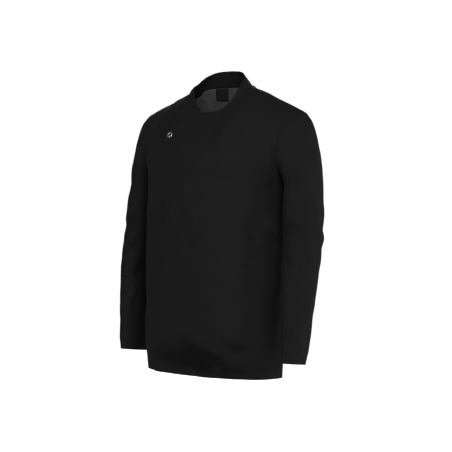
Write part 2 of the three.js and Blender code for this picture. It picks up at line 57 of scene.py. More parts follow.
# %% Camera
CAMERA_TURN = math.radians(30)
CAMERA_AWAY = 3.1
CAMERA_Z = -0.18
SENSOR_WIDTH = 36
LENS = 96.36
AIM = Vector((0.0012, 0.0007, -0.3472))

camera_data = bpy.data.cameras.new("photo_camera")
camera = bpy.data.objects.new("photo_camera", camera_data)
bpy.context.scene.collection.objects.link(camera)
camera.location = (CAMERA_AWAY * math.sin(CAMERA_TURN), -CAMERA_AWAY * math.cos(CAMERA_TURN), CAMERA_Z)
camera.rotation_euler = (AIM - camera.location).to_track_quat("-Z", "Y").to_euler()
camera_data.sensor_width = SENSOR_WIDTH
camera_data.lens = LENS
bpy.context.scene.camera = camera
print("camera at", [round(value, 3) for value in camera.location])

# %% [markdown]
# The pattern. The body is described by level sections between the hem and the underarm, and above that by
# columns that bend from the chest section up to the neck and the shoulder seams. The numbers are the ones
# the solids were made from, so that every cloth piece lies on its own solid.
# A place on the body has two shares: u runs from the wearer's right side seam (-1) to the left one (1), and
# h from the hem (0) over the underarm (1) to the top edge (2).

# %% Numbers of the pattern, in millimetres
WALL = 1.6
LAP_GAP = 1.1
LINING_IN = 2.4
LABEL_IN = 3.6
HEM_Z = -703
HEM_DROP_BACK = 0.095
HEM_DROP_LEFT = 0.0165
UNDERARM_Z = -214
SIDE_SEAM_Y = -25
NECK_U = 0.36
LAP_U = 0.4181818

# height, half width, widest y, front y, back y, front power, back power
TORSO = [
    (-703, 174, -47, -195, 79, 2.35, 2.25),
    (-640, 177, -46, -198, 79, 2.45, 2.25),
    (-520, 177, -46, -198, 78, 2.45, 2.25),
    (-400, 176, -44, -197, 77, 2.45, 2.3),
    (-300, 175.5, -38, -196, 78, 2.4, 2.4),
    (-245, 177, -31, -194, 80, 2.35, 2.6),
    (-214, 181, -27, -190, 81, 2.35, 2.7),
]
# half width, centre y, half depth
NECK = (83.6, -24.5, 76)
RIM = (63.5, -32, 67)
# degrees from the back, base right, base left, rim right, rim left
NECK_HEIGHTS = [
    (0, 11, 11, 51, 51),
    (30, 10, 11, 48.5, 46.5),
    (60, 5, 9, 36, 33),
    (90, -4, 5.5, 14.5, 13),
    (105, -10, -13, 7, -8),
    (120, -20, -35, 0, -29),
    (135, -34, -50, -16, -46),
    (150, -48, -57.5, -36, -55),
    (165, -58, -60.5, -53, -58.5),
    (180, -61.5, -61.5, -60, -60),
]
COLLAR_BULGE = 2.5
# x, y, z on the left, z on the right
SHOULDER = [
    (83.6, -24.5, 5.5, -4),
    (108, -20, -2.5, -14.5),
    (130, -16, -12.5, -23),
    (150, -12, -22, -30),
    (190, -6, -40.5, -44),
    (228, -2, -60, -60),
]
# share from the underarm to the shoulder tip, x, y, z
ARMHOLE = {
    "front": [
        (0, 181, -25, -214),
        (0.17, 183, -61, -203),
        (0.35, 186, -82, -171),
        (0.55, 191.5, -80, -130),
        (0.75, 203, -58, -92),
        (0.89, 217, -28, -69),
        (1, 228, -2, -60),
    ],
    "back": [
        (0, 181, -25, -214),
        (0.17, 184, 11, -205),
        (0.35, 189, 45, -178),
        (0.55, 197, 63, -136),
        (0.75, 208, 53, -97),
        (0.89, 220, 26, -71),
        (1, 228, -2, -60),
    ],
}
# z, centre x, centre y, half width, half depth
SLEEVE = [
    (-674, 233.5, -75, 19.5, 52.5),
    (-636, 236.5, -69, 23, 55),
    (-554, 236.5, -58.5, 30, 60.5),
    (-472, 236, -45, 36, 65),
    (-390, 234, -27.5, 40.5, 69.5),
    (-308, 230, -13.5, 41.5, 73.5),
    (-240, 224.5, -3, 37.5, 75),
]
SLEEVE_POWER = 2.2
SLEEVE_LEAN = 0.16
CAP_END_Z = -240
CUFF_Z = SLEEVE[0][0]
# how far past the centre, z
LAP_TOP = [
    (0, -61.5),
    (10, -63),
    (22, -69),
    (40, -78.5),
    (58, -86.5),
    (77, -88.8),
    (94, -91),
    (104, -95),
    (112, -102),
]
# z, share of the way to the side seam
LAP_EDGE = [
    (-703, 0.394),
    (-600, 0.357),
    (-512, 0.347),
    (-390, 0.322),
    (-310, 0.298),
    (-238, 0.284),
    (-204, 0.286),
    (-152, 0.332),
    (-123, 0.381),
    (-108, 0.411),
    (-92, 0.418),
]
LIFT_FADE_ACROSS = 0.25
LIFT_FADE_UP = 0.45
RISE = {"front": 165, "back": 150}
# y pull at the neck, z pull at the neck, y pull at the shoulder, z pull at the shoulder, y pull at its tip
CREST = {"front": (95, 120, 150, 0, 130), "back": (-45, 130, -360, -30, -130)}
print("hem to collar:", NECK_HEIGHTS[0][3] - HEM_Z, "mm")

# %% [markdown]
# Two tools read the pattern: a smooth curve through the rows of a table, and a curve between two points
# that leaves and arrives in given directions. They take whole arrays of places at once, because a garment
# needs tens of thousands of them. A bell is the cross-section of a fold, a seam or a worn edge.

# %% Curves through the numbers
FULL_TURN = 2 * math.pi


def smoothstep(x, low, high):
    t = np.clip((x - low) / (high - low), 0, 1)
    return t * t * (3 - 2 * t)


def bell(distance, width):
    """1 in the middle, falling off smoothly to nearly nothing at twice the width."""
    return np.exp(-((distance / width) ** 2))


def lerp(a, b, t):
    return a + (b - a) * t


def between(table, want, column):
    """A smooth value of one column of a table, at places along its first column."""
    rows = np.array(table, float)
    keys, values = rows[:, 0], rows[:, column]
    last = len(keys) - 1
    i = np.clip(np.searchsorted(keys, want, side="right") - 1, 0, last - 1)
    ends = np.arange(last + 1)
    low, high = np.maximum(ends - 1, 0), np.minimum(ends + 1, last)
    slopes = (values[high] - values[low]) / (keys[high] - keys[low])
    span = keys[i + 1] - keys[i]
    t = np.clip((want - keys[i]) / span, 0, 1)
    start = values[i] * (1 + 2 * t) * (1 - t) ** 2 + slopes[i] * span * t * (1 - t) ** 2
    end = values[i + 1] * t**2 * (3 - 2 * t) - slopes[i + 1] * span * t**2 * (1 - t)
    return start + end


def hermite(start, start_pull, end, end_pull, t):
    t = np.asarray(t)[..., None]
    rise = start * (1 + 2 * t) * (1 - t) ** 2 + start_pull * t * (1 - t) ** 2
    return rise + end * t**2 * (3 - 2 * t) - end_pull * t**2 * (1 - t)


def points(x, y, z):
    return np.stack(np.broadcast_arrays(x, y, z), -1)


def unit(vectors):
    return vectors / np.maximum(np.linalg.norm(vectors, axis=-1, keepdims=True), 1e-12)


print("torso half width at z -450:", round(float(between(TORSO, -450.0, 1)), 1), "mm")

# %% The body below the underarm
def lower_body(face, u, h):
    z = lerp(HEM_Z, UNDERARM_Z, h)
    half, widest = between(TORSO, z, 1), between(TORSO, z, 2)
    seam = math.pi / 2 + np.arctan((SIDE_SEAM_Y - widest) / half)
    angle = u * seam if face == "front" else math.pi - u * (math.pi - seam)
    # near the side seam a place may lie a little past the widest point, on the other face's section
    ahead = np.cos(angle) > 0
    depth = np.where(ahead, widest - between(TORSO, z, 3), between(TORSO, z, 4) - widest)
    power = np.where(ahead, between(TORSO, z, 5), between(TORSO, z, 6))
    across = (np.abs(np.sin(angle)) / half) ** power
    along = (np.abs(np.cos(angle)) / depth) ** power
    reach = (across + along) ** (-1 / power)
    x, y = reach * np.sin(angle), widest - reach * np.cos(angle)
    drop = HEM_DROP_BACK * (y - TORSO[0][3]) + HEM_DROP_LEFT * x
    return points(x, y, z - (1 - h) * drop)


# %% The neck and the shoulder seams
def neck_turn(face, u):
    quarter = 90 * np.abs(u) / NECK_U
    return 180 - quarter if face == "front" else quarter


def neck_height(kind, turn, side):
    column = {"base": 1, "rim": 3}[kind]
    return np.where(side < 0, between(NECK_HEIGHTS, turn, column), between(NECK_HEIGHTS, turn, column + 1))


def on_neck(oval, turn, side, z):
    half_width, centre_y, half_depth = oval
    angle = np.radians(turn)
    sign = np.where(side < 0, -1, 1)
    return points(sign * half_width * np.sin(angle), centre_y + half_depth * np.cos(angle), z)


def top_edge(face, u):
    turn = neck_turn(face, np.minimum(np.abs(u), NECK_U))
    neck = on_neck(NECK, turn, u, neck_height("base", turn, u))
    share = np.clip((np.abs(u) - NECK_U) / (1 - NECK_U), 0, 1)
    x = lerp(SHOULDER[0][0], SHOULDER[-1][0], share)
    z = np.where(u < 0, between(SHOULDER, x, 3), between(SHOULDER, x, 2))
    shoulder = points(np.where(u < 0, -x, x), between(SHOULDER, x, 1), z)
    return np.where((np.abs(u) <= NECK_U)[..., None], neck, shoulder)


# %% The body above the underarm
def column(face, u, t):
    neck_y, neck_z, shoulder_y, shoulder_z, tip_y = CREST[face]
    shoulderward = 1 - np.cos(math.pi / 2 * np.minimum(np.abs(u) / NECK_U, 1))
    tipward = smoothstep(np.abs(u), NECK_U, 1)
    pull_y = lerp(neck_y, lerp(shoulder_y, tip_y, tipward), shoulderward)
    pull_z = lerp(neck_z, shoulder_z * (1 - tipward), shoulderward)
    end_pull = points(0 * u, pull_y, pull_z)
    start, start_pull = lower_body(face, u, 1 + 0 * u), points(0 * u, 0 * u, RISE[face] + 0 * u)
    return hermite(start, start_pull, top_edge(face, u), end_pull, t)


def upper_body(face, u, t):
    side = np.where(u < 0, -1.0, 1.0)
    hole = ARMHOLE[face]
    edge = points(side * between(hole, t, 1), between(hole, t, 2), between(hole, t, 3))
    drawn = edge - column(face, side, t)
    weight = smoothstep(np.abs(u), 0.3, 1) ** (1.2 + 2.5 * (1 - t) ** 2)
    return column(face, u, t) + drawn * weight[..., None]


def smooth_body(face, u, h):
    u, h = np.broadcast_arrays(np.asarray(u, float), np.asarray(h, float))
    low = lower_body(face, u, np.minimum(h, 1))
    high = upper_body(face, u, np.maximum(h - 1, 0))
    return np.where((h <= 1)[..., None], low, high)


def body_normal(face, u, h, step=0.002):
    across = smooth_body(face, np.minimum(u + step, 1), h) - smooth_body(face, np.maximum(u - step, -1), h)
    up = smooth_body(face, u, np.minimum(h + step, 2)) - smooth_body(face, u, np.maximum(h - step, 0))
    return unit(np.cross(across, up)) * (1 if face == "front" else -1)


print("shoulder tip:", np.round(smooth_body("front", 1.0, 2.0), 1))

# %% [markdown]
# The wrapped front. The wearer's left front crosses the centre and lies on the right one, so it is lifted by
# one wall and a small gap, and the lift dies away towards its own seams. Its upper edge drops from the neck
# to a rounded corner over the right chest, and its free edge leans in a little at the waist.

# %% The lap of the left front
def slide_to_edge(u, h):
    z = smooth_body("front", u, h)[..., 2]
    slid = u * between(LAP_EDGE, np.clip(z, HEM_Z, LAP_EDGE[-1][0]), 1) / LAP_U
    return np.where(u < 0, slid, u)


def stay(u, h):
    return u + 0 * h


def lap_top(u, slide=stay):
    """Share of the way up at which the lap's upper edge is met, found by halving."""
    low, high = np.full(np.shape(u), 0.2), np.ones(np.shape(u))
    for _ in range(30):
        middle = (low + high) / 2
        place = upper_body("front", slide(u, 1 + middle), middle)
        under = place[..., 2] < between(LAP_TOP, np.abs(place[..., 0]), 1)
        low, high = np.where(under, middle, low), np.where(under, high, middle)
    return np.minimum(low, 1)


def lap_lift(u, h):
    past = np.maximum(u - LAP_U, 0) / LIFT_FADE_ACROSS
    above = np.where(u > 0, np.maximum(h - 1 - lap_top(np.minimum(np.maximum(u, 0), LAP_U)), 0), 0)
    away = np.hypot(past, above / LIFT_FADE_UP)
    return (WALL + LAP_GAP) * (1 - smoothstep(away, 0.02, 1))


print("top of the free edge:", np.round(smooth_body("front", -LAP_U, 1 + lap_top(np.array(-LAP_U))), 1))

# %% [markdown]
# Folds. A pressed workwear jacket keeps few of them: long shallow troughs where the lap and the hem pull to
# one side, short ticks at the waist, and creases inside the elbow. A simulation would give different ones
# each time a value changes, so they are placed one by one: a fold is a line on the cloth with a width and a
# depth that die away unevenly towards its ends. A trough has a depth and a ridge a negative one.
# The first list is the solids' own; the others add what is too fine for them.

# %% Folds of the solids, by x and z on the front and by height and turn on a sleeve
# x0, z0, x1, z1, width, depth
FRONT_FOLDS = [
    (-76, -645, 125, -693, 20, 7),
    (45, -700, 140, -664, 16, -4),
    (79, -619, 165, -636, 16, 3),
]
# z, turn, spread, width, depth
SLEEVE_FOLDS = [
    (-352, 95, 50, 15, 6),
    (-392, 80, 40, 13, 4.5),
    (-372, 225, 45, 16, -3),
]


def line_distance(a, b, a0, b0, a1, b1):
    """Distance from a line piece, and the share of the way along it."""
    da, db = a1 - a0, b1 - b0
    share = np.clip(((a - a0) * da + (b - b0) * db) / (da**2 + db**2), 0, 1)
    return np.hypot(a - a0 - share * da, b - b0 - share * db), share


def broad_folds(place):
    depth = 0
    for *line, width, deep in FRONT_FOLDS:
        off, share = line_distance(place[..., 0], place[..., 2], *line)
        depth = depth + deep * bell(off, width) * (0.25 + 0.75 * np.sin(math.pi * share))
    return depth


# %% Finer folds, each a line from one place to another with a width, a depth and where it is deepest
# millimetres round the chest from the centre to a side seam
HALF_GIRTH = 280
# u0, z0, u1, z1, width, depth, share of the deepest place
FINE_FOLDS = {
    "front": [
        (0.57, -356, 0.69, -369, 3.6, 2.4, 0.4),
        (0.58, -346, 0.7, -357, 6, -1.2, 0.5),
        (0.53, -429, 0.63, -441, 5, 1.4, 0.4),
        (0.55, -420, 0.65, -430, 6, -1.0, 0.5),
        (0.7, -322, 0.93, -352, 10, -2.4, 0.45),
        (0.74, -345, 0.97, -384, 11, 2.0, 0.6),
        (-0.25, -262, -0.245, -352, 11, 1.8, 0.5),
        (-0.275, -385, -0.27, -482, 10, 1.9, 0.45),
        (0.6, -285, 0.59, -505, 15, 1.7, 0.5),
        (0.31, -612, 0.6, -639, 10, 1.6, 0.6),
        (0.0, -655, 0.26, -682, 8, 2.4, 0.55),
        (0.33, -676, 0.45, -700, 8, 2.4, 0.6),
        (-0.26, -604, 0.6, -690, 17, 6.0, 0.6),
        (-0.5, -648, 0.1, -694, 16, 2.6, 0.5),
        (0.05, -682, 0.44, -704, 12, 3.6, 0.4),
        (0.25, -672, 0.9, -692, 24, 2.2, 0.4),
        (0.33, -651, 0.5, -676, 9, -2.0, 0.5),
        (0.9, -232, 0.58, -262, 15, 2.2, 0.25),
        (0.95, -262, 0.72, -318, 12, 1.4, 0.3),
        (-0.88, -236, -0.52, -270, 15, 2.0, 0.25),
        (-0.97, -300, -0.62, -352, 14, 1.5, 0.4),
        (-0.72, -420, -0.6, -560, 16, 1.8, 0.5),
        (-0.93, -520, -0.72, -640, 15, 1.7, 0.6),
        (0.86, -470, 0.78, -650, 17, 2.2, 0.55),
        (0.1, -180, 0.5, -232, 16, 1.1, 0.5),
        (-0.48, -84, -0.22, -64, 12, 2.4, 0.5),
        (-0.42, -104, -0.2, -92, 6, -1.0, 0.5),
    ],
    "back": [
        (0.93, -226, 0.5, -296, 15, 3.2, 0.25),
        (0.96, -268, 0.62, -372, 14, 2.3, 0.35),
        (-0.94, -232, -0.55, -280, 14, 2.8, 0.25),
        (-0.96, -285, -0.5, -404, 16, 2.5, 0.35),
        (0.34, -330, 0.28, -575, 20, 2.6, 0.45),
        (-0.22, -360, -0.3, -610, 22, 2.3, 0.5),
        (-0.02, -430, 0.03, -690, 24, 1.6, 0.6),
        (0.66, -470, 0.58, -716, 18, 2.6, 0.6),
        (-0.68, -500, -0.6, -722, 17, 2.3, 0.6),
        (-0.1, -610, -0.62, -684, 15, 3.0, 0.6),
        (0.12, -640, 0.6, -700, 14, 2.4, 0.55),
        (0.3, -392, 0.72, -428, 10, 1.6, 0.5),
        (-0.3, -446, -0.8, -478, 10, 1.8, 0.55),
        (0.5, -135, 0.86, -176, 13, 1.6, 0.6),
        (-0.5, -130, -0.85, -180, 13, 1.8, 0.6),
        (0.0, -46, 0.02, -150, 26, 1.2, 0.4),
    ],
}


def crease(a, b, fold):
    """Depth of one fold at places given by millimetres across and up."""
    a0, b0, a1, b1, width, deep, peak = fold
    off, share = line_distance(a, b, a0, b0, a1, b1)
    # a gentle bend keeps long folds from looking ruled
    off = off + 0.12 * width * np.sin(share * 5.1 + a0 * 0.05 + b0 * 0.03)
    rise = np.where(share < peak, share / peak, (1 - share) / (1 - peak))
    return deep * bell(off, width) * smoothstep(rise, 0, 0.8)


def fine_folds(face, u, z):
    depth = 0
    for u0, z0, u1, z1, *size in FINE_FOLDS[face]:
        depth = depth + crease(u * HALF_GIRTH, z, (u0 * HALF_GIRTH, z0, u1 * HALF_GIRTH, z1, *size))
    return depth


# how many millimetres one wave is across and up, its size, and where it starts
SOFT_WAVES = [
    (96, 151, 0.5, 0.3),
    (-71, 112, 0.4, 1.9),
    (143, -86, 0.45, 4.1),
    (53, 205, 0.3, 2.6),
    (-118, -64, 0.25, 5.4),
    (37, 49, 0.14, 0.9),
    (-29, 61, 0.12, 3.3),
]
# where the waves start on each piece
SOFT_START = {"front": 0.0, "back": 2.2, "left": 0.6, "right": 3.5}


def softness(across, up, start=SOFT_START["front"]):
    """The faint unevenness of cloth that nothing pulls tight."""
    height = 0
    for wide, tall, size, turn in SOFT_WAVES:
        height = height + size * np.sin(FULL_TURN * (across / wide + up / tall) + turn + start)
    return height


print("fine folds:", {face: len(folds) for face, folds in FINE_FOLDS.items()})

# %% [markdown]
# From a grid of places to a piece of cloth. Blender's grid operator gives the faces, and the pattern tells
# where each of its corners goes. The cloth's own lengths across and up become the UV map, in metres, so that
# the twill runs along each piece as it was cut. Solidify then gives it a thickness, more of it where the edge
# is turned under. Two attributes remember how near a worn edge is and how deep in a fold a place lies; the
# fold depth is painted into the colour as shade in troughs and light on ridges.

# %% Lengths along a grid, and the way it faces
def lengths(grid, axis):
    steps = np.linalg.norm(np.diff(grid, axis=axis), axis=-1)
    return np.insert(np.cumsum(steps, axis=axis), 0, 0, axis=axis)


def edge_distances(grid):
    """Millimetres from every place of a grid to its bottom, top, first and last edge."""
    up, across = lengths(grid, 0), lengths(grid, 1)
    return {"bottom": up, "top": up[-1:] - up, "first": across, "last": across[:, -1:] - across}


def grid_normals(grid, sign, tube=False):
    across = np.gradient(grid, axis=1)
    if tube:
        wide = np.concatenate([grid[:, -2:-1], grid, grid[:, 1:2]], axis=1)
        across = wide[:, 2:] - wide[:, :-2]
    return unit(np.cross(across, np.gradient(grid, axis=0))) * sign


# %% Edges: a turned edge rounds off, a seam dips and puckers
EDGE_ROLL = 1.4
EDGE_DEPTH = 0.5
SEAM_DEPTH = 0.55
SEAM_WIDTH = 1.7
GROOVE_DEPTH = 0.38
# length of a wave along the edge, its size and where it starts
SEAM_WAVES = [(11, 0.132, 0), (19.03, 0.096, 1.1)]
STITCH_WAVES = [(8.5, 0.17, 0), (18.7, 0.13, 0.7)]


def turned(distance):
    return -EDGE_DEPTH * np.clip(1 - distance / EDGE_ROLL, 0, 1) ** 2


def ripple(along, waves):
    return sum(size * np.sin(FULL_TURN * along / wave + turn) for wave, size, turn in waves)


def seam_pucker(distance, along):
    return ripple(along, SEAM_WAVES) * bell(distance - 4, 4.5)


def seam_dip(distance, along):
    return seam_pucker(distance, along) - SEAM_DEPTH * bell(distance, SEAM_WIDTH)


def stitch_groove(distance, at, along):
    """Topstitching draws the cloth down along its row and lets it rise a little between rows."""
    off = distance - at
    return ripple(along, STITCH_WAVES) * bell(off, 5) - GROOVE_DEPTH * bell(off, 1.1)


# %% Any mesh to a smooth object of the scene
def to_object(bm, name):
    for face in bm.faces:
        face.smooth = True
    mesh = bpy.data.meshes.new(name)
    bm.to_mesh(mesh)
    bm.free()
    made = bpy.data.objects.new(name, mesh)
    bpy.context.scene.collection.objects.link(made)
    return made


# %% How worn and how thick the cloth is; rows are its rows of stitching, each an edge and a distance from it
HEM_DEPTH = 20
CUFF_DEPTH = 25
LAP_STITCH = 6
LAP_TURN = 9
TURNED_UNDER = {"bottom": HEM_DEPTH, "top": CUFF_DEPTH, **dict.fromkeys(("slant", "first", "last"), LAP_TURN)}
ONE_LAYER = 0.6


def worn_edges(far, rows, reach):
    """1 along the stitched edges, falling to 0 within a few millimetres."""
    worn = 0 * far["bottom"]
    for side, _ in rows:
        worn = np.maximum(worn, bell(far[side], reach))
    return worn


def layers_of_cloth(far, rows):
    """Full thickness where the edge is turned under, and six tenths of it elsewhere."""
    thick = np.full(far["bottom"].shape, ONE_LAYER)
    for side, _ in rows:
        thick = np.where(far[side] <= TURNED_UNDER[side] + 0.05, 1.0, thick)
    return thick


# %% Grid to cloth
# a fold this many millimetres deep gets the full painted shade
PAINTED_SHADE_DEPTH = 6.0


def make_cloth(name, grid, sign, far, rows=(), thickness=1.5, even=False, painted_fold_shade=0, tube=False, reach=2.2):
    """A piece of cloth from a grid of places in millimetres; sign says whether the grid already faces out."""
    last_row, last_column = grid.shape[0] - 1, grid.shape[1] - 1
    up, across = lengths(grid, 0) * MM, lengths(grid, 1) * MM
    from_middle = across - across[:, (last_column + 1) // 2][:, None]
    # the fold depth below is painted into the colour: darker in a trough and lighter on a ridge, as shade and
    # light
    shades = {
        "worn": worn_edges(far, rows, reach),
        "painted_fold_shade": np.clip(painted_fold_shade / PAINTED_SHADE_DEPTH, -1, 1) + 0 * up,
    }
    thick = 1 + 0 * up if even else layers_of_cloth(far, rows)
    bm = bmesh.new()
    uv_layer = bm.loops.layers.uv.new("cloth")
    bmesh.ops.create_grid(bm, x_segments=last_column, y_segments=last_row, size=1)
    shade_layers = {shade: bm.verts.layers.float.new(shade) for shade in shades}
    thick_layer = bm.verts.layers.deform.verify()
    places = {}
    for vert in bm.verts:
        place = round((vert.co.y + 1) / 2 * last_row), round((vert.co.x + 1) / 2 * last_column)
        places[vert] = place
        vert[thick_layer][0] = float(thick[place])
        for shade, layer in shade_layers.items():
            vert[layer] = float(shades[shade][place])
    for face in bm.faces:
        for loop in face.loops:
            place = places[loop.vert]
            loop[uv_layer].uv = (from_middle[place], up[place])
    for vert, place in places.items():
        vert.co = Vector(grid[place]) * MM
    if tube:
        bmesh.ops.remove_doubles(bm, verts=bm.verts, dist=1e-5)
    if sign < 0:
        bmesh.ops.reverse_faces(bm, faces=bm.faces)
    piece = to_object(bm, name)
    piece.vertex_groups.new(name="turned_under")
    shell = piece.modifiers.new("cloth thickness", "SOLIDIFY")
    shell.thickness = thickness * MM
    shell.offset = -1
    shell.vertex_group = "turned_under"
    shell.use_quality_normals = True
    print(name, len(piece.data.polygons), "faces")
    return piece


# %% [markdown]
# Where the rows and columns of a panel go. Cloth needs about 4 mm between them to carry a soft fold, and much
# less near a hem or a seam, where a turned edge is only a millimetre thick.

# %% Rows and columns
EDGE_STEPS = [0, 0.5, 1.1, 1.9, 3.0, 4.4, 6.2]
HEM_STEPS = EDGE_STEPS + [9.5, 13, 16.3, 18.4, 19.3, 20, 20.7, 21.6, 23.5]
COLUMN_STEP = 4.1
ROW_STEP = 4.2
LOWER_HEIGHT = UNDERARM_Z - HEM_Z
UPPER_HEIGHT = 215


def spread(first, last, step, start=(), end=()):
    """Places from first to last, a step apart, with closer ones near either end."""
    low, high = (start[-1] if len(start) else 0), (end[-1] if len(end) else 0)
    count = max(2, round((last - first - low - high) / step))
    middle = np.linspace(first + low, last - high, count + 1)
    near = [first + value for value in start[:-1]]
    far = [last - value for value in reversed(end[:-1])]
    return np.array([*near, *middle, *far])


def panel_columns(first):
    """Columns by u, from a first one to the left side seam."""
    near = [value / HALF_GIRTH for value in EDGE_STEPS]
    return spread(first, 1, COLUMN_STEP / HALF_GIRTH, near, near)


LOW_ROWS = spread(0, 1, ROW_STEP / LOWER_HEIGHT, [value / LOWER_HEIGHT for value in HEM_STEPS])
HIGH_ROWS = spread(0, 1, ROW_STEP / UPPER_HEIGHT, (), [value / UPPER_HEIGHT for value in EDGE_STEPS])[1:]
print("rows of a panel:", len(LOW_ROWS) + len(HIGH_ROWS))


# %% A panel: its smooth places, and what moves them
def panel_grid(face, us, top_of, lift_of, slide=stay):
    """Smooth places of a panel with its lifts and the solids' own folds, and the shares they belong to."""
    h = np.concatenate([np.repeat(LOW_ROWS[:, None], len(us), 1), 1 + HIGH_ROWS[:, None] * top_of(us)])
    u = slide(np.repeat(us[None, :], len(h), 0), h)
    place = smooth_body(face, u, h)
    out = body_normal(face, u, h)
    lift = lift_of(u, h) - (broad_folds(place) if face == "front" else 0)
    return place + out * lift[..., None], out, u, h


def no_lift(u, _):
    return 0 * u


def edges_fade(distance, reach=9.0):
    """Folds and unevenness die away at a seam, so that two pieces still meet there."""
    return smoothstep(distance, 0, reach)


def dress_panel(face, grid, out, u, far, sewn_sides, rows):
    """A panel's places moved for its folds, seams, turned edges and stitching, and the depth of its folds,
    which is painted into the colour as shade.
    """
    up, across = lengths(grid, 0), lengths(grid, 1)
    along = {side: up if side in ("first", "last") else across for side in far}
    calm = 1.0
    for side in sewn_sides:
        calm = calm * edges_fade(far[side])
    folds = fine_folds(face, u, grid[..., 2])
    move = (softness(u * HALF_GIRTH, grid[..., 2], SOFT_START[face]) - folds) * calm
    for side, _ in rows:
        move = move + turned(far[side])
    for side in sewn_sides:
        move = move + seam_dip(far[side], along[side])
    for side, at in rows:
        move = move + stitch_groove(far[side], at, along[side])
    return grid + out * move[..., None], folds * calm


def eased(grid, weight, rounds=60):
    """Evens a grid out from column to column where the weight is 1, and leaves it alone where it is 0."""
    share = weight[:, 1:-1, None] / 2
    for _ in range(rounds):
        grid[:, 1:-1] = lerp(grid[:, 1:-1], (grid[:, :-2] + grid[:, 2:]) / 2, share)
    return grid


# %% [markdown]
# The back, cut in one from side seam to side seam. It is the widest piece. Its folds start at the armholes
# and the waist, where a worn back creases.

# %% Back panel
BACK_ROWS = [("bottom", HEM_DEPTH)]
back_us = panel_columns(-1)
back_grid, back_out, back_u, _ = panel_grid("back", back_us, lambda us: 1 + 0 * us, no_lift)
back_far = edge_distances(back_grid)
back_grid, back_painted_shade = dress_panel(
    "back", back_grid, back_out, back_u, back_far, ["first", "last", "top"], BACK_ROWS
)
back = make_cloth("back_cloth", back_grid, -1, back_far, BACK_ROWS, painted_fold_shade=back_painted_shade)

# %% [markdown]
# The two fronts. The wearer's right front lies underneath and reaches just past the centre. The left one
# lies on it, and shows two turned and topstitched edges: the long free edge and the slanting one above it.
# A metal ring snap bites into the lap, so the cloth dips under it and puckers a little all round.

# %% Front panels
CENTRE_U = -0.02
# farther than any place of a panel is from its edges
NOWHERE_NEAR = 999
NECK_RIDGE = 0.16
LEFT_ROWS = [("bottom", HEM_DEPTH), ("slant", LAP_STITCH), ("first", LAP_STITCH)]
RIGHT_ROWS = LEFT_ROWS[:2] + [("last", LAP_STITCH)]
left_us = panel_columns(-LAP_U)
right_us = -left_us[::-1]


def left_top(us):
    return np.where(us < 0, lap_top(np.minimum(us, 0), slide_to_edge), 1)


def right_top(us):
    return np.where(us > 0, lap_top(np.maximum(us, 0)), 1)


def front_grid(us, top_of, lift_of, slide, rows):
    """A dressed front; its last row of stitching is on the free edge past the centre."""
    grid, out, u, h = panel_grid("front", us, top_of, lift_of, slide)
    # a ridge would run down the front from the corner of the neck
    beside = bell(np.abs(u) - NECK_U, NECK_RIDGE)
    below = edge_distances(grid)["top"]
    grid = eased(grid, beside * smoothstep(h, 1.2, 1.5) * smoothstep(below, 0, 14))
    far = edge_distances(grid)
    is_left = rows[-1][0] == "first"
    is_lap = u < CENTRE_U if is_left else u > -CENTRE_U
    far["slant"] = np.where(is_lap, far["top"], NOWHERE_NEAR)
    far["sewn"] = np.where(is_lap, NOWHERE_NEAR, far["top"])
    dressed, folds = dress_panel("front", grid, out, u, far, ["sewn", "last" if is_left else "first"], rows)
    return dressed, out, far, folds + broad_folds(grid)


# %% Where the snap sits, and how the lap lies round it
SNAP_X, SNAP_Z = -73.5, -116
# the stiff ring tips the cloth round it a little towards the middle of the chest
SNAP_TIP = np.array([0.2, -0.05, 0])
SNAP_PRESS = 0.5
# the cloth is flat up to the first distance from the middle and free from the second one on
SNAP_HOLD = (7.5, 16)
RAY_COUNT = 5
RAY_SIZE = 0.28


def snap_place():
    """Shares of the place on the lap where the snap sits, found by stepping towards it."""
    u, h = np.array(SNAP_X / 240), np.array(1.5)
    for _ in range(60):
        place = smooth_body("front", u, h) + body_normal("front", u, h) * lap_lift(u, h)
        u, h = u + (SNAP_X - place[0]) / 400, h + (SNAP_Z - place[2]) / 400
    return u, h


def snap_pucker(grid, out):
    """The lap lies flat against the stiff ring, gives under it, and radiates a few small puckers from it."""
    off = grid - snap_centre
    level = -(off @ snap_face) / np.maximum(out @ snap_face, 0.5)
    away = np.linalg.norm(off, axis=-1)
    round_it = np.arctan2(off[..., 2], off[..., 0])
    rays = RAY_SIZE * np.sin(RAY_COUNT * round_it + 0.8) * bell(away - 12, 5)
    held = 1 - smoothstep(away, *SNAP_HOLD)
    return (level - SNAP_PRESS) * held + rays * (1 - held)


snap_u, snap_h = snap_place()
snap_out = body_normal("front", snap_u, snap_h)
snap_face = unit(snap_out + SNAP_TIP)
snap_bare = float(softness(snap_u * HALF_GIRTH, SNAP_Z) - fine_folds("front", snap_u, SNAP_Z))
snap_centre = smooth_body("front", snap_u, snap_h) + snap_out * (lap_lift(snap_u, snap_h) + snap_bare)

# %% The two fronts
left_grid, left_out, left_far, left_painted_shade = front_grid(left_us, left_top, lap_lift, slide_to_edge, LEFT_ROWS)
left_grid = left_grid + left_out * snap_pucker(left_grid, left_out)[..., None]
front_left = make_cloth("front_left_cloth", left_grid, 1, left_far, LEFT_ROWS, painted_fold_shade=left_painted_shade)
right_grid, _, right_far, right_painted_shade = front_grid(right_us, right_top, no_lift, stay, RIGHT_ROWS)
front_right = make_cloth("front_right_cloth", right_grid, 1, right_far, RIGHT_ROWS, painted_fold_shade=right_painted_shade)

# %% [markdown]
# The stand collar. It is a narrow curved band, sewn to the necks of the back and the fronts and folded along
# its free edge. It starts from the very places where those pieces end, so it can't gape. It is highest at the
# back and runs out to almost nothing at the centre front.

# %% Where the collar is sewn on
COLLAR_SHARES = spread(0, 1, 0.075, [0, 0.012, 0.03, 0.055, 0.09], [0, 0.012, 0.03, 0.055, 0.09, 0.12])
COLLAR_START_U = 0.044
COLLAR_ROWS = [("top", 5)]


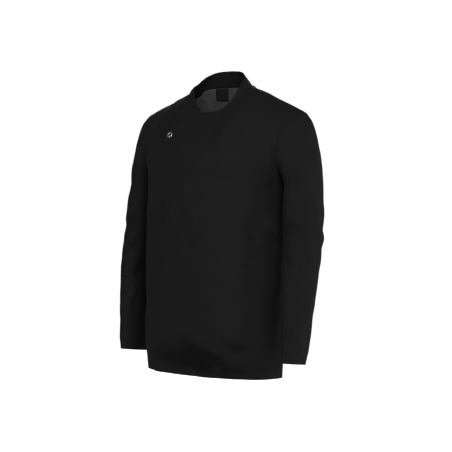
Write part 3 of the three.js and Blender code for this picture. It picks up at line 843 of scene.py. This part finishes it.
def neck_stations():
    """Turn, side and place of every column of the neck, from the right front round the back to the left."""
    right = [i for i in range(len(right_us)) if -NECK_U < right_us[i] < -COLLAR_START_U][::-1]
    behind = [i for i in range(len(back_us)) if abs(back_us[i]) <= NECK_U]
    left = [i for i in range(len(left_us)) if COLLAR_START_U < left_us[i] < NECK_U][::-1]
    stretches = [("front", right_us[right]), ("back", back_us[behind]), ("front", left_us[left])]
    turns = np.concatenate([neck_turn(face, us) for face, us in stretches])
    sides = np.concatenate([-np.ones(len(right)), np.sign(back_us[behind]), np.ones(len(left))])
    base = np.concatenate([right_grid[-1, right], back_grid[-1, behind], left_grid[-1, left]])
    return turns, sides, base


neck_turns, neck_sides, neck_base = neck_stations()
rim = on_neck(RIM, neck_turns, neck_sides, neck_height("rim", neck_turns, neck_sides))
collar_height = np.linalg.norm(rim - neck_base, axis=-1)
print("collar height:", round(collar_height.max(), 1), "mm")

# %% Stand collar
outward = unit((neck_base - np.array([0, NECK[1], 0])) * np.array([1, 1, 0]))
collar_bulge = COLLAR_BULGE * np.sin(math.pi * COLLAR_SHARES)[:, None] * np.minimum(collar_height / 40, 1)
collar_grid = lerp(neck_base[None], rim[None], COLLAR_SHARES[:, None, None])
collar_grid = collar_grid + outward[None] * collar_bulge[..., None]
collar_far = edge_distances(collar_grid)
collar_along = lengths(collar_grid, 1)
collar_move = turned(collar_far["top"]) + stitch_groove(collar_far["top"], COLLAR_ROWS[0][1], collar_along)
# the lowest places stay on the panels' own edges, which have already dipped
collar_move = collar_move + seam_pucker(collar_far["bottom"], collar_along)
collar_soft = 0.8 * softness(collar_along, collar_grid[..., 2], 1.3)
collar_move = collar_move + collar_soft * edges_fade(collar_far["bottom"])
collar_move = collar_move * np.minimum(collar_height / 14, 1)
collar_grid = collar_grid + grid_normals(collar_grid, -1) * collar_move[..., None]
collar = make_cloth("stand_collar_cloth", collar_grid, -1, collar_far, COLLAR_ROWS, thickness=1.6, even=True)

# %% [markdown]
# The sleeves. Each is one tube: round the shoulder it starts from the armhole's own places, flows over the
# cap and narrows to the cuff, bent forward at the elbow as an arm hangs. The two sleeves share their main
# creases inside the elbow, and each has some of its own.

# %% Sleeve folds, by degrees round from the inner side towards the front, and height
SLEEVE_GIRTH = 380
# turn0, z0, turn1, z1, width, depth, share of the deepest place
SLEEVE_FINE = {
    "left": [
        (146, -310, 182, -312, 4.5, 2.0, 0.6),
        (150, -302, 178, -303, 5, -0.9, 0.5),
        (60, -330, 128, -345, 9, 2.0, 0.4),
        (48, -405, 120, -428, 9, 1.9, 0.5),
        (30, -462, 52, -575, 9, 1.8, 0.4),
        (195, -342, 262, -366, 10, 1.7, 0.5),
        (188, -405, 250, -390, 11, 1.4, 0.4),
        (60, -586, 130, -606, 11, 1.3, 0.5),
        (218, -560, 292, -596, 12, 1.4, 0.5),
        (96, -185, 128, -262, 12, 1.6, 0.4),
        (240, -196, 268, -282, 13, 1.8, 0.4),
        (165, -130, 178, -235, 16, 1.0, 0.5),
    ],
    "right": [
        (58, -326, 122, -338, 9, 1.9, 0.5),
        (40, -382, 106, -412, 9, 2.2, 0.4),
        (28, -488, 53, -585, 8, 2.2, 0.5),
        (150, -352, 200, -362, 7, 1.3, 0.5),
        (205, -330, 276, -352, 11, 1.8, 0.5),
        (196, -412, 268, -432, 11, 1.5, 0.5),
        (70, -612, 142, -588, 11, 1.2, 0.5),
        (226, -600, 300, -566, 12, 1.5, 0.5),
        (84, -198, 122, -276, 12, 1.8, 0.4),
        (236, -188, 262, -300, 13, 1.6, 0.4),
        (178, -140, 168, -240, 16, 0.9, 0.5),
        (18, -398, 56, -500, 13, 4.2, 0.6),
        (44, -505, 80, -535, 12, -2.2, 0.4),
    ],
}


def pressed_in(z, share):
    """Depth of the solid's own folds on a sleeve."""
    depth = 0
    for fold_z, turn, reach, width, deep in SLEEVE_FOLDS:
        depth = depth + deep * bell(share * 360 - turn, reach) * bell(z - fold_z, width)
    return depth


def sleeve_ring(z, share):
    """Places of the left sleeve at heights z and shares of the way round."""
    angle = share * FULL_TURN
    cos, sin = np.cos(angle), np.sin(angle)
    size = (np.abs(cos) ** SLEEVE_POWER + np.abs(sin) ** SLEEVE_POWER) ** (-1 / SLEEVE_POWER)
    pressed = pressed_in(z, share)
    x = between(SLEEVE, z, 1) - size * cos * (between(SLEEVE, z, 3) - pressed)
    aside = -size * sin * (between(SLEEVE, z, 4) - pressed)
    lean = SLEEVE_LEAN * smoothstep(-z, -CAP_END_Z, -CUFF_Z)
    return points(x, between(SLEEVE, z, 2) + aside, z - lean * aside)


# %% Sleeve grid
CAP_SHARES = np.array([0, 0.006, 0.014, 0.026, 0.045, 0.075, 0.115, *np.linspace(0.17, 1, 18)])[:-1]
CUFF_STEPS = EDGE_STEPS + [9.5, 13, 17, 21, 23.6, 24.3, 25, 25.8, 27]
CUFF_ROWS = [("top", CUFF_DEPTH)]
ARMHOLE_MIDDLE = np.array([195, -5, -140])
# how hard the cap is drawn out of the armhole, how much it spreads and drops there, and how it falls below
CAP_PULL = 0.55
CAP_SPREAD = 0.3
CAP_FALL = 0.85
SHOULDER_RIDGE = 0.07


def sleeve_grid(front, behind, flip):
    """Places of a sleeve, as if on the wearer's left, from an armhole's front and back places."""
    start_row = len(LOW_ROWS) - 1
    ahead = front[start_row:] * flip
    after = behind[start_row + 1 : -1][::-1] * flip
    hole = np.concatenate([ahead, after, ahead[:1]])
    t = np.concatenate([[0], HIGH_ROWS])
    share = np.concatenate([t / 2, 1 - t[1:-1][::-1] / 2, [1]])
    end = sleeve_ring(CAP_END_Z + 0 * share, share)
    chord = np.linalg.norm(end - hole, axis=-1)[:, None]
    radial = unit((hole - ARMHOLE_MIDDLE) * np.array([0, 1, 1]))
    drawn = np.stack([0 * share + 1, CAP_SPREAD * radial[:, 1], 0 * share - CAP_SPREAD], -1)
    start_pull, end_pull = drawn * CAP_PULL * chord, np.array([0, 0, -CAP_FALL]) * chord
    cap = hermite(hole[None], start_pull[None], end[None], end_pull[None], CAP_SHARES[:, None])
    low = spread(CUFF_Z, CAP_END_Z, ROW_STEP, CUFF_STEPS)[::-1]
    down = sleeve_ring(low[:, None] + 0 * share[None], share[None] + 0 * low[:, None])
    return np.concatenate([cap, down]), np.repeat(share[None], len(cap) + len(down), 0)


# %% Sleeves; side is 1 on the wearer's left
def make_sleeve(name, side, front, behind):
    flip = np.array([side, 1, 1])
    grid, share = sleeve_grid(front, behind, flip)
    # a ridge would run down the sleeve from the tip of the shoulder
    below = lengths(grid, 0)
    near_cap = smoothstep(below, 0, 12) * (1 - smoothstep(below, 130, 180))
    grid = eased(grid, bell(share - 0.5, SHOULDER_RIDGE) * near_cap)
    out = grid_normals(grid, -1, tube=True)
    far = edge_distances(grid)
    round_it = share * SLEEVE_GIRTH
    depth = 0
    for turn0, z0, turn1, z1, *size in SLEEVE_FINE[name]:
        line = (turn0 / 360 * SLEEVE_GIRTH, z0, turn1 / 360 * SLEEVE_GIRTH, z1, *size)
        depth = depth + crease(round_it, grid[..., 2], line)
    soft = softness(grid[..., 1] + 1.9 * grid[..., 0], grid[..., 2], SOFT_START[name])
    # painted shade: the fold depth darkens the sleeve's colour in troughs and lightens it on ridges, with a
    # quarter of the solid's own folds
    painted_fold_shade = depth + 0.25 * pressed_in(grid[..., 2], share)
    move = (soft - depth) * edges_fade(far["bottom"], 14)
    # the first row stays on the body's own edge, which has already dipped
    move = move + seam_pucker(far["bottom"], round_it) * smoothstep(far["bottom"], 0, 3)
    move = move + turned(far["top"]) + stitch_groove(far["top"], CUFF_DEPTH, round_it)
    grid = grid + out * move[..., None]
    grid[:, -1] = grid[:, 0]
    grid = grid * flip
    piece = make_cloth(f"sleeve_{name}_cloth", grid, -side, far, CUFF_ROWS, painted_fold_shade=painted_fold_shade, tube=True)
    return piece, grid, far


sleeve_left, arm_left, arm_left_far = make_sleeve("left", 1, left_grid[:, -1], back_grid[:, -1])
sleeve_right, arm_right, arm_right_far = make_sleeve("right", -1, right_grid[:, 0], back_grid[:, 0])

# %% [markdown]
# Inside the back of the neck: an open knit lining across the upper back, and a bare woven label sewn to it.
# Both lie on the back's own form, moved in, so they follow its folds. The label is held by its short sides
# and bows a little between them.

# %% Inside of the back
def inside_back(us, shares, inset):
    u, t = np.broadcast_arrays(us, shares)
    place, out = smooth_body("back", u, 1 + t), body_normal("back", u, 1 + t)
    z = place[..., 2]
    follow = softness(u * HALF_GIRTH, z, SOFT_START["back"]) - fine_folds("back", u, z)
    fade = edges_fade((1 - t) * UPPER_HEIGHT) * edges_fade((1 - np.abs(u)) * HALF_GIRTH)
    return place + out * (follow * fade - inset)[..., None]


# %% Lining; it stops below the shoulder seams, whose own turned cloth shows beside the neck
LINING_BOTTOM = 2 / 9
LINING_TOP = 0.983
LINING_DROP = 27
LINING_SIDE_U = 0.8836
lining_us = spread(-LINING_SIDE_U, LINING_SIDE_U, 5 / HALF_GIRTH)
lining_tops = LINING_TOP - LINING_DROP / UPPER_HEIGHT * smoothstep(np.abs(lining_us), 0.2, 0.37)
lining_shares = lerp(LINING_BOTTOM, lining_tops, spread(0, 1, 0.03)[:, None])
lining_grid = inside_back(lining_us, lining_shares, LINING_IN)
lining = make_cloth("mesh_lining", lining_grid, -1, edge_distances(lining_grid), thickness=0.7, even=True)

# %% Label; the columns of the back draw together towards the neck, and the label is cut straight
LABEL_STEPS = 14
LABEL_THICKNESS = 0.6
LABEL_ROWS = [("first", 1.6), ("last", 1.6)]
label_shares = np.linspace(7.15 / 9, 8.93 / 9, LABEL_STEPS)[:, None]
label_sides = np.linspace(-0.179, -0.148, LABEL_STEPS), np.linspace(-0.069, -0.051, LABEL_STEPS)
label_us = np.linspace(*label_sides, LABEL_STEPS, axis=1)
bow = np.sin(np.linspace(0, math.pi, LABEL_STEPS)) * (0.4 + 0.9 * np.linspace(1, 0, LABEL_STEPS)[:, None])
label_grid = inside_back(label_us, label_shares, LABEL_IN + bow)
label_far = edge_distances(label_grid)
label = make_cloth(
    "bare_label", label_grid, -1, label_far, LABEL_ROWS, thickness=LABEL_THICKNESS, even=True, reach=1.2
)

# %% [markdown]
# Topstitching. Every turned edge is held by a row of stitches. On black cloth they hardly show, but close up
# they are what makes an edge look sewn. Each stitch is a tiny flattened bead of thread lying half in the
# cloth: one little sphere with a few faces, scaled along the row and set down again and again.

# %% Lines for stitching
def inset_line(grid, far, side, at):
    """The line that runs a given distance in from one edge of a grid."""
    by_column = side in ("bottom", "top", "slant")
    distance = far[side] if by_column else far[side].T
    places = grid if by_column else np.swapaxes(grid, 0, 1)
    found = []
    for k in range(distance.shape[1]):
        row = distance[:, k]
        inside = np.nonzero((row[:-1] - at) * (row[1:] - at) <= 0)[0]
        if len(inside) == 0 or row.min() > at:
            continue
        j = inside[0]
        share = (at - row[j]) / (row[j + 1] - row[j])
        found.append(lerp(places[j, k], places[j + 1, k], share))
    return np.array(found)


def nearest_normals(line, grid, out):
    flat_grid, flat_out = grid.reshape(-1, 3), out.reshape(-1, 3)
    return np.array([flat_out[np.argmin(((flat_grid - place) ** 2).sum(-1))] for place in line])


# %% Stitches
STITCH_PITCH = 3.1
STITCH_LENGTH = 2.5
THREAD_RADIUS = 0.3
THREAD_RISE = 0.12


def along_line(at, run, line):
    """The place a given way along a line, or the direction there."""
    return np.array([np.interp(at, run, line[:, k]) for k in range(3)])


def sew(name, grid, far, sign, rows, tube=False):
    """One mesh of stitches along rows, on the side of the grid that sign chooses."""
    bm = bmesh.new()
    count = 0
    size = Matrix.Diagonal((STITCH_LENGTH / 2 * MM, THREAD_RADIUS * MM, THREAD_RADIUS * MM, 1))
    for side, at in rows:
        line = inset_line(grid, far, side, at)
        out = nearest_normals(line, grid, grid_normals(grid, sign, tube))
        run = np.insert(np.cumsum(np.linalg.norm(np.diff(line, axis=0), axis=-1)), 0, 0)
        for start in np.arange(STITCH_PITCH / 2, run[-1] - STITCH_LENGTH, STITCH_PITCH):
            a, b = along_line(start, run, line), along_line(start + STITCH_LENGTH, run, line)
            ahead, up = unit(b - a), unit(along_line(start, run, out))
            up = unit(up - ahead * (up @ ahead))
            turn = Matrix([Vector(ahead), Vector(np.cross(up, ahead)), Vector(up)]).transposed().to_4x4()
            middle = (a + b) / 2 + up * THREAD_RISE
            place = Matrix.Translation(Vector(middle) * MM) @ turn @ size
            bmesh.ops.create_uvsphere(bm, u_segments=5, v_segments=4, radius=1, matrix=place)
            count += 1
    print(name, count, "stitches")
    return to_object(bm, name)


left_threads = sew("front_left_stitching", left_grid, left_far, 1, LEFT_ROWS)
right_threads = sew("front_right_stitching", right_grid, right_far, 1, RIGHT_ROWS[:1])
back_threads = sew("back_stitching", back_grid, back_far, -1, BACK_ROWS)
collar_threads = sew("collar_stitching", collar_grid, collar_far, -1, COLLAR_ROWS + [("bottom", 1.9)])
sleeve_left_threads = sew("sleeve_left_stitching", arm_left, arm_left_far, -1, CUFF_ROWS, True)
sleeve_right_threads = sew("sleeve_right_stitching", arm_right, arm_right_far, 1, CUFF_ROWS, True)
# the label shows the face that looks into the neck, one thickness in from its grid
label_face = label_grid - LABEL_THICKNESS * grid_normals(label_grid, -1)
label_threads = sew("label_stitching", label_face, label_far, 1, LABEL_ROWS)

# %% [markdown]
# The ring snap. It is pressed from thin metal: a rolled outer rim, a shallow channel, and an inner lip round
# the open middle, through which the cloth shows. A profile spun round the ring's axis gives exactly that.

# %% Ring snap
# radius, height above the cloth
RING_PROFILE = [
    (3.5, -0.5),
    (3.5, 0.9),
    (3.62, 1.35),
    (3.9, 1.62),
    (4.25, 1.66),
    (4.7, 1.5),
    (5.35, 1.42),
    (6.1, 1.55),
    (6.7, 1.66),
    (7.2, 1.52),
    (7.56, 1.15),
    (7.75, 0.6),
    (7.72, 0.1),
    (7.4, -0.5),
]
SPIN_STEPS = 64


def spin_ring(name, profile):
    bm = bmesh.new()
    verts = [bm.verts.new((radius * MM, 0, height * MM)) for radius, height in profile]
    edges = [bm.edges.new((a, b)) for a, b in zip(verts, verts[1:] + verts[:1])]
    around = {"cent": (0, 0, 0), "axis": (0, 0, 1), "angle": FULL_TURN}
    bmesh.ops.spin(bm, geom=verts + edges, steps=SPIN_STEPS, use_merge=True, **around)
    bmesh.ops.remove_doubles(bm, verts=bm.verts, dist=1e-6)
    bmesh.ops.recalc_face_normals(bm, faces=bm.faces)
    turn = Vector((0, 0, 1)).rotation_difference(Vector(snap_face)).to_matrix().to_4x4()
    bmesh.ops.transform(bm, verts=bm.verts, matrix=Matrix.Translation(Vector(snap_centre) * MM) @ turn)
    return to_object(bm, name)


snap = spin_ring("snap_ring_metal", RING_PROFILE)
print("snap across:", 2 * max(radius for radius, _ in RING_PROFILE), "mm at", np.round(snap_centre, 1))

# %% [markdown]
# The finishes. Real chef's twill is a dense black polyester and cotton cloth: fine diagonal ribs, a little
# unevenness from yarn to yarn, faintly greyer where an edge has been rubbed, and a soft sheen where one looks
# along the surface. The ribs, yarns and fading are one node group, so that each cloth can have its own
# values. The group also paints shade into the colour: darker in the grooves between ribs and at the bottom of
# folds, lighter on rib tops and fold ridges. The sheen belongs to the shader itself.

# %% Tools for node trees
def feed(tree, socket, value):
    """Links a socket to another one, or gives it a plain value."""
    if isinstance(value, bpy.types.NodeSocket):
        tree.links.new(value, socket)
    else:
        socket.default_value = value


def add_node(tree, kind, inputs, **settings):
    node = tree.nodes.new(kind)
    for name, value in settings.items():
        setattr(node, name, value)
    for name, value in inputs.items():
        feed(tree, node.inputs[name], value)
    return node


def math_node(tree, operation, *values):
    return add_node(tree, "ShaderNodeMath", dict(enumerate(values)), operation=operation).outputs[0]


def mix_colour(tree, factor, a, b):
    return add_node(tree, "ShaderNodeMix", {0: factor, 6: a, 7: b}, data_type="RGBA").outputs[2]


def noise(tree, where, scale, detail, roughness=0.5):
    inputs = {"Vector": where, "Scale": scale, "Detail": detail, "Roughness": roughness}
    return add_node(tree, "ShaderNodeTexNoise", inputs).outputs["Fac"]


def new_group(name, inputs, outputs):
    """An empty shader node group with its sockets, and its two end nodes."""
    group = bpy.data.node_groups.new(name, "ShaderNodeTree")
    for socket_name, kind, value in inputs:
        socket = group.interface.new_socket(socket_name, in_out="INPUT", socket_type="NodeSocket" + kind)
        if value is not None:
            socket.default_value = value
    for socket_name, kind in outputs:
        group.interface.new_socket(socket_name, in_out="OUTPUT", socket_type="NodeSocket" + kind)
    return group, group.nodes.new("NodeGroupInput").outputs, group.nodes.new("NodeGroupOutput").inputs


# %% Weave group: diagonal ribs, yarns, cloudy shade, worn edges, and painted shade in folds and grooves
def build_weave():
    group, given, result = new_group(
        "woven cloth",
        [
            ("Cloth UV", "Vector", None),
            ("Rib Pitch", "Float", 0.0008),
            ("Slant", "Float", 1.0),
            ("Deep Shade", "Color", (0.01, 0.01, 0.01, 1)),
            ("Light Shade", "Color", (0.015, 0.015, 0.015, 1)),
            ("Worn Shade", "Color", (0.03, 0.03, 0.03, 1)),
            ("Wear", "Float", 0.5),
            # how strongly the fold depth paints shade into the colour
            ("Painted Shade Strength", "Float", 0.5),
            ("Roughness", "Float", 0.85),
        ],
        [("Color", "Color"), ("Roughness", "Float"), ("Height", "Float")],
    )
    uv = given["Cloth UV"]
    split = add_node(group, "ShaderNodeSeparateXYZ", {0: uv}).outputs

    def times(a, b):
        return math_node(group, "MULTIPLY", a, b)

    def plus(a, b):
        return math_node(group, "ADD", a, b)

    def wave(angle):
        return math_node(group, "MULTIPLY_ADD", math_node(group, "SINE", angle), 0.5, 0.5)

    # ribs: a sine across the slanted direction, and yarns across them at twice the pitch
    slanted = plus(split["X"], times(split["Y"], given["Slant"]))
    per_turn = math_node(group, "DIVIDE", FULL_TURN, given["Rib Pitch"])
    ribs = wave(plus(times(slanted, per_turn), times(noise(group, uv, 900.0, 1.0), 1.2)))
    yarns = wave(times(split["X"], times(per_turn, 2.0)))
    height = plus(times(ribs, 0.75), times(yarns, 0.25))
    # shade: a yarn now and then takes the dye differently and the whole cloth is a little cloudy; the ribs'
    # relief is painted in too, as shade in the grooves and light on the tops
    stretched = add_node(group, "ShaderNodeVectorMath", {0: uv, 1: (1400.0, 45.0, 1.0)}, operation="MULTIPLY")
    streaks = noise(group, stretched.outputs[0], 1.0, 2.0)
    clouds = noise(group, uv, 9.0, 4.0, 0.6)
    shade = plus(plus(times(streaks, 0.35), times(clouds, 0.4)), times(height, 0.25))
    cloth = mix_colour(group, shade, given["Deep Shade"], given["Light Shade"])
    # wear: only on turned edges, and broken up
    worn = add_node(group, "ShaderNodeAttribute", {}, attribute_name="worn").outputs["Fac"]
    wear = times(times(worn, noise(group, uv, 160.0, 3.0)), given["Wear"])
    rubbed = mix_colour(group, wear, cloth, given["Worn Shade"])
    # painted shade: the colour is darkened at the bottom of a fold, where shade falls, and lightened on a
    # ridge as painted light
    painted_fold_shade = add_node(group, "ShaderNodeAttribute", {}, attribute_name="painted_fold_shade").outputs["Fac"]
    holes_and_painted_shade = math_node(group, "SUBTRACT", 1.0, times(painted_fold_shade, given["Painted Shade Strength"]))
    shaded = add_node(group, "ShaderNodeVectorMath", {0: rubbed, "Scale": holes_and_painted_shade}, operation="SCALE")
    feed(group, result["Color"], shaded.outputs[0])
    feed(group, result["Roughness"], plus(given["Roughness"], times(clouds, 0.06)))
    feed(group, result["Height"], height)
    return group


weave = build_weave()


# %% Materials
def new_material(name, **values):
    """A material, its node tree and its shader, with the shader's plain values set."""
    material = bpy.data.materials.new(name)
    material.use_nodes = True
    shader = material.node_tree.nodes["Principled BSDF"]
    for socket, value in values.items():
        shader.inputs[socket.replace("_", " ")].default_value = value
    return material, material.node_tree, shader


def add_relief(tree, shader, height, strength, distance):
    inputs = {"Height": height, "Strength": strength, "Distance": distance}
    feed(tree, shader.inputs["Normal"], add_node(tree, "ShaderNodeBump", inputs).outputs["Normal"])


def cloth_material(name, weave_values, bump, distance, **shader_values):
    material, tree, shader = new_material(name, **shader_values)
    uv = add_node(tree, "ShaderNodeUVMap", {}, uv_map="cloth").outputs["UV"]
    cloth = add_node(tree, "ShaderNodeGroup", {}, node_tree=weave)
    for socket, value in {"Cloth UV": uv, **weave_values}.items():
        feed(tree, cloth.inputs[socket], value)
    feed(tree, shader.inputs["Base Color"], cloth.outputs["Color"])
    feed(tree, shader.inputs["Roughness"], cloth.outputs["Roughness"])
    add_relief(tree, shader, cloth.outputs["Height"], bump, distance)
    return material


twill = cloth_material(
    "black_twill",
    {
        "Rib Pitch": 0.0009,
        "Slant": 0.6,
        "Deep Shade": (0.005, 0.005, 0.0052, 1),
        "Light Shade": (0.0086, 0.0086, 0.0089, 1),
        "Worn Shade": (0.013, 0.013, 0.0134, 1),
        "Wear": 0.4,
        # fold depth painted into the twill's colour as shade
        "Painted Shade Strength": 0.62,
        "Roughness": 0.85,
    },
    bump=0.35,
    distance=0.00025,
    Sheen_Weight=0.011,
    Sheen_Tint=(0.95, 0.96, 1.0, 1),
    Sheen_Roughness=0.4,
    Specular_IOR_Level=0.06,
)
tape = cloth_material(
    "black_label_tape",
    {
        "Rib Pitch": 0.0004,
        "Slant": 0.05,
        "Deep Shade": (0.004, 0.004, 0.0042, 1),
        "Light Shade": (0.008, 0.008, 0.0084, 1),
        "Worn Shade": (0.02, 0.02, 0.02, 1),
        "Wear": 0.4,
        "Painted Shade Strength": 0.0,
        "Roughness": 0.45,
    },
    bump=0.25,
    distance=0.00012,
    Sheen_Weight=0.02,
    Sheen_Tint=(1.0, 1.0, 1.0, 1),
    Sheen_Roughness=0.4,
    Specular_IOR_Level=0.3,
)

# %% [markdown]
# The knit lining is a different thing: a grey polyester mesh with a round hole between every few loops. The
# black back shows through the holes. A cell texture with hardly any randomness puts the holes in rows.

# %% Mesh knit
KNIT_CELL = 0.0022


def mesh_material(name, dark_yarn, light_yarn, hole):
    soft = {"Sheen_Weight": 0.06, "Sheen_Roughness": 0.5}
    material, tree, shader = new_material(name, Roughness=0.75, Specular_IOR_Level=0.25, **soft)
    uv = add_node(tree, "ShaderNodeUVMap", {}, uv_map="cloth").outputs["UV"]
    cells = add_node(tree, "ShaderNodeTexVoronoi", {"Vector": uv, "Scale": 1 / KNIT_CELL, "Randomness": 0.12})
    from_centre = cells.outputs["Distance"]
    edge = {"Value": from_centre, "From Min": 0.2, "From Max": 0.42, "To Min": 1.0, "To Max": 0.0}
    holes_and_painted_shade = add_node(tree, "ShaderNodeMapRange", edge, interpolation_type="SMOOTHSTEP").outputs["Result"]
    loops = noise(tree, uv, 2600.0, 1.0)
    lit = mix_colour(tree, loops, dark_yarn, light_yarn)
    feed(tree, shader.inputs["Base Color"], mix_colour(tree, holes_and_painted_shade, lit, hole))
    raised = math_node(tree, "SUBTRACT", math_node(tree, "MULTIPLY", loops, 0.3), holes_and_painted_shade)
    add_relief(tree, shader, raised, 0.6, 0.0004)
    return material


knit = mesh_material(
    "grey_mesh_knit", (0.0464, 0.0464, 0.048, 1), (0.0696, 0.0696, 0.072, 1), (0.011, 0.011, 0.0115, 1)
)

# %% [markdown]
# Thread is twisted, so it catches the light in short slanting glints. Nickel is smooth, but not perfectly:
# fine scratches run round it and handling leaves its channel duller.

# %% Thread and nickel
THREAD_TWIST = 0.0005
# Blender's wave texture turns its sine by this many radians in one unit at a scale of 1
WAVE_RADIANS = 20


def thread_material():
    material, tree, shader = new_material("black_thread", Roughness=0.6, Specular_IOR_Level=0.08)
    where = add_node(tree, "ShaderNodeTexCoord", {}).outputs["Object"]
    bands = {"Vector": where, "Scale": FULL_TURN / (WAVE_RADIANS * THREAD_TWIST)}
    twist = add_node(tree, "ShaderNodeTexWave", bands, bands_direction="DIAGONAL").outputs["Fac"]
    # the lighter bands along the twist are painted glints in the thread's colour, beside its real relief
    colour = mix_colour(tree, twist, (0.0025, 0.0025, 0.0025, 1), (0.006, 0.006, 0.0062, 1))
    feed(tree, shader.inputs["Base Color"], colour)
    add_relief(tree, shader, twist, 0.4, 0.0001)
    return material


def nickel_material():
    material, tree, shader = new_material("nickel_ring", Metallic=1.0)
    where = add_node(tree, "ShaderNodeTexCoord", {}).outputs["Object"]
    scratches, handling = noise(tree, where, 2200.0, 3.0), noise(tree, where, 320.0, 2.0)
    colour = mix_colour(tree, handling, (0.42, 0.42, 0.43, 1), (0.58, 0.58, 0.58, 1))
    feed(tree, shader.inputs["Base Color"], colour)
    feed(tree, shader.inputs["Roughness"], math_node(tree, "MULTIPLY_ADD", scratches, 0.22, 0.14))
    add_relief(tree, shader, scratches, 0.12, 0.00005)
    return material


thread = thread_material()
nickel = nickel_material()
print("materials:", ", ".join(m.name for m in (twill, tape, knit, thread, nickel)))

# %% [markdown]
# Which piece stands for which solid. Every cloth piece takes the place of one imported solid, which keeps its
# work in the simulation and is hidden here. Nothing on the jacket moves by itself, so all of it rides on the
# one body.

# %% Pieces, their finishes and what they stand for
PIECES = [
    (back, twill, "black_twill", "back_panel"),
    (front_right, twill, "black_twill", "front_right_panel"),
    (front_left, twill, "black_twill", "front_left_panel"),
    (sleeve_right, twill, "black_twill", "sleeve_right"),
    (sleeve_left, twill, "black_twill", "sleeve_left"),
    (collar, twill, "black_twill", "stand_collar"),
    (lining, knit, "mesh_lining", "back_lining"),
    (label, tape, "label_tape", "neck_label"),
    (snap, nickel, "snap_metal", "snap_ring"),
]
THREADS = [left_threads, right_threads, back_threads, collar_threads, label_threads]
THREADS += [sleeve_left_threads, sleeve_right_threads]
for piece, material, slot, node in PIECES:
    piece.data.materials.append(material)
    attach(piece, "root")
    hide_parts(node)
for piece in THREADS:
    piece.data.materials.append(thread)
    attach(piece, "root")


# %% [markdown]
# The studio. The photo has a plain white ground and light from all round. The strongest light comes from
# above the camera and from its right, and lamps behind the jacket give the sleeves their pale edges. A wide
# pale floor lies well below the hem, because the jacket hangs as if worn.

# %% Floor
FLOOR_Z = -1.2
FLOOR_SIZE = 60
FLOOR_LIFT = 0.95


def pale_floor():
    bm = bmesh.new()
    bmesh.ops.create_grid(bm, x_segments=4, y_segments=4, size=FLOOR_SIZE / 2)
    bmesh.ops.translate(bm, verts=bm.verts, vec=(0, 0, FLOOR_Z))
    floor = to_object(bm, "studio_floor")
    white = {"Base_Color": (0.9, 0.9, 0.9, 1), "Emission_Color": (1, 1, 1, 1)}
    material, tree, shader = new_material("pale_floor", Roughness=0.9, **white)
    # what the camera sees of the floor is lifted to the white of the photo, and the jacket isn't lit by it
    seen = add_node(tree, "ShaderNodeLightPath", {}).outputs["Is Camera Ray"]
    feed(tree, shader.inputs["Emission Strength"], math_node(tree, "MULTIPLY", seen, FLOOR_LIFT))
    floor.data.materials.append(material)
    return floor


pale_floor()

# %% Lights
# name, place, aim, size in metres, power in watts
LIGHTS = [
    ("key", (0.95, -1.7, 1.2), (0, -0.1, -0.28), 1.0, 36),
    ("fill", (-1.2, -2.9, 0.2), (0, 0, -0.35), 1.8, 20),
    ("side", (2.2, -2.1, 0.1), (0.15, 0, -0.4), 1.2, 46),
    ("rim", (2.3, 2.2, 0.2), (0.2, 0, -0.35), 0.8, 30),
    ("behind", (-1.3, 2.5, 0.9), (0, 0, -0.35), 1.6, 36),
]
for name, place, aim, size, power in LIGHTS:
    lamp = bpy.data.lights.new(name, "AREA")
    lamp.shape = "SQUARE"
    lamp.size = size
    lamp.energy = power
    light = bpy.data.objects.new(name, lamp)
    light.location = place
    light.rotation_euler = (Vector(aim) - Vector(place)).to_track_quat("-Z", "Y").to_euler()
    bpy.context.scene.collection.objects.link(light)

# %% World: white where the camera looks past the jacket, and a softer grey light on the jacket itself
SURROUNDINGS = 0.16
WHITE_GROUND = 1.1
world = bpy.data.worlds.new("studio")
world.use_nodes = True
seen = add_node(world.node_tree, "ShaderNodeLightPath", {}).outputs["Is Camera Ray"]
strength = math_node(world.node_tree, "MULTIPLY_ADD", seen, WHITE_GROUND - SURROUNDINGS, SURROUNDINGS)
background = world.node_tree.nodes["Background"]
feed(world.node_tree, background.inputs["Color"], (1, 1, 1, 1))
feed(world.node_tree, background.inputs["Strength"], strength)
bpy.context.scene.world = world
bpy.context.scene.view_settings.view_transform = "Standard"
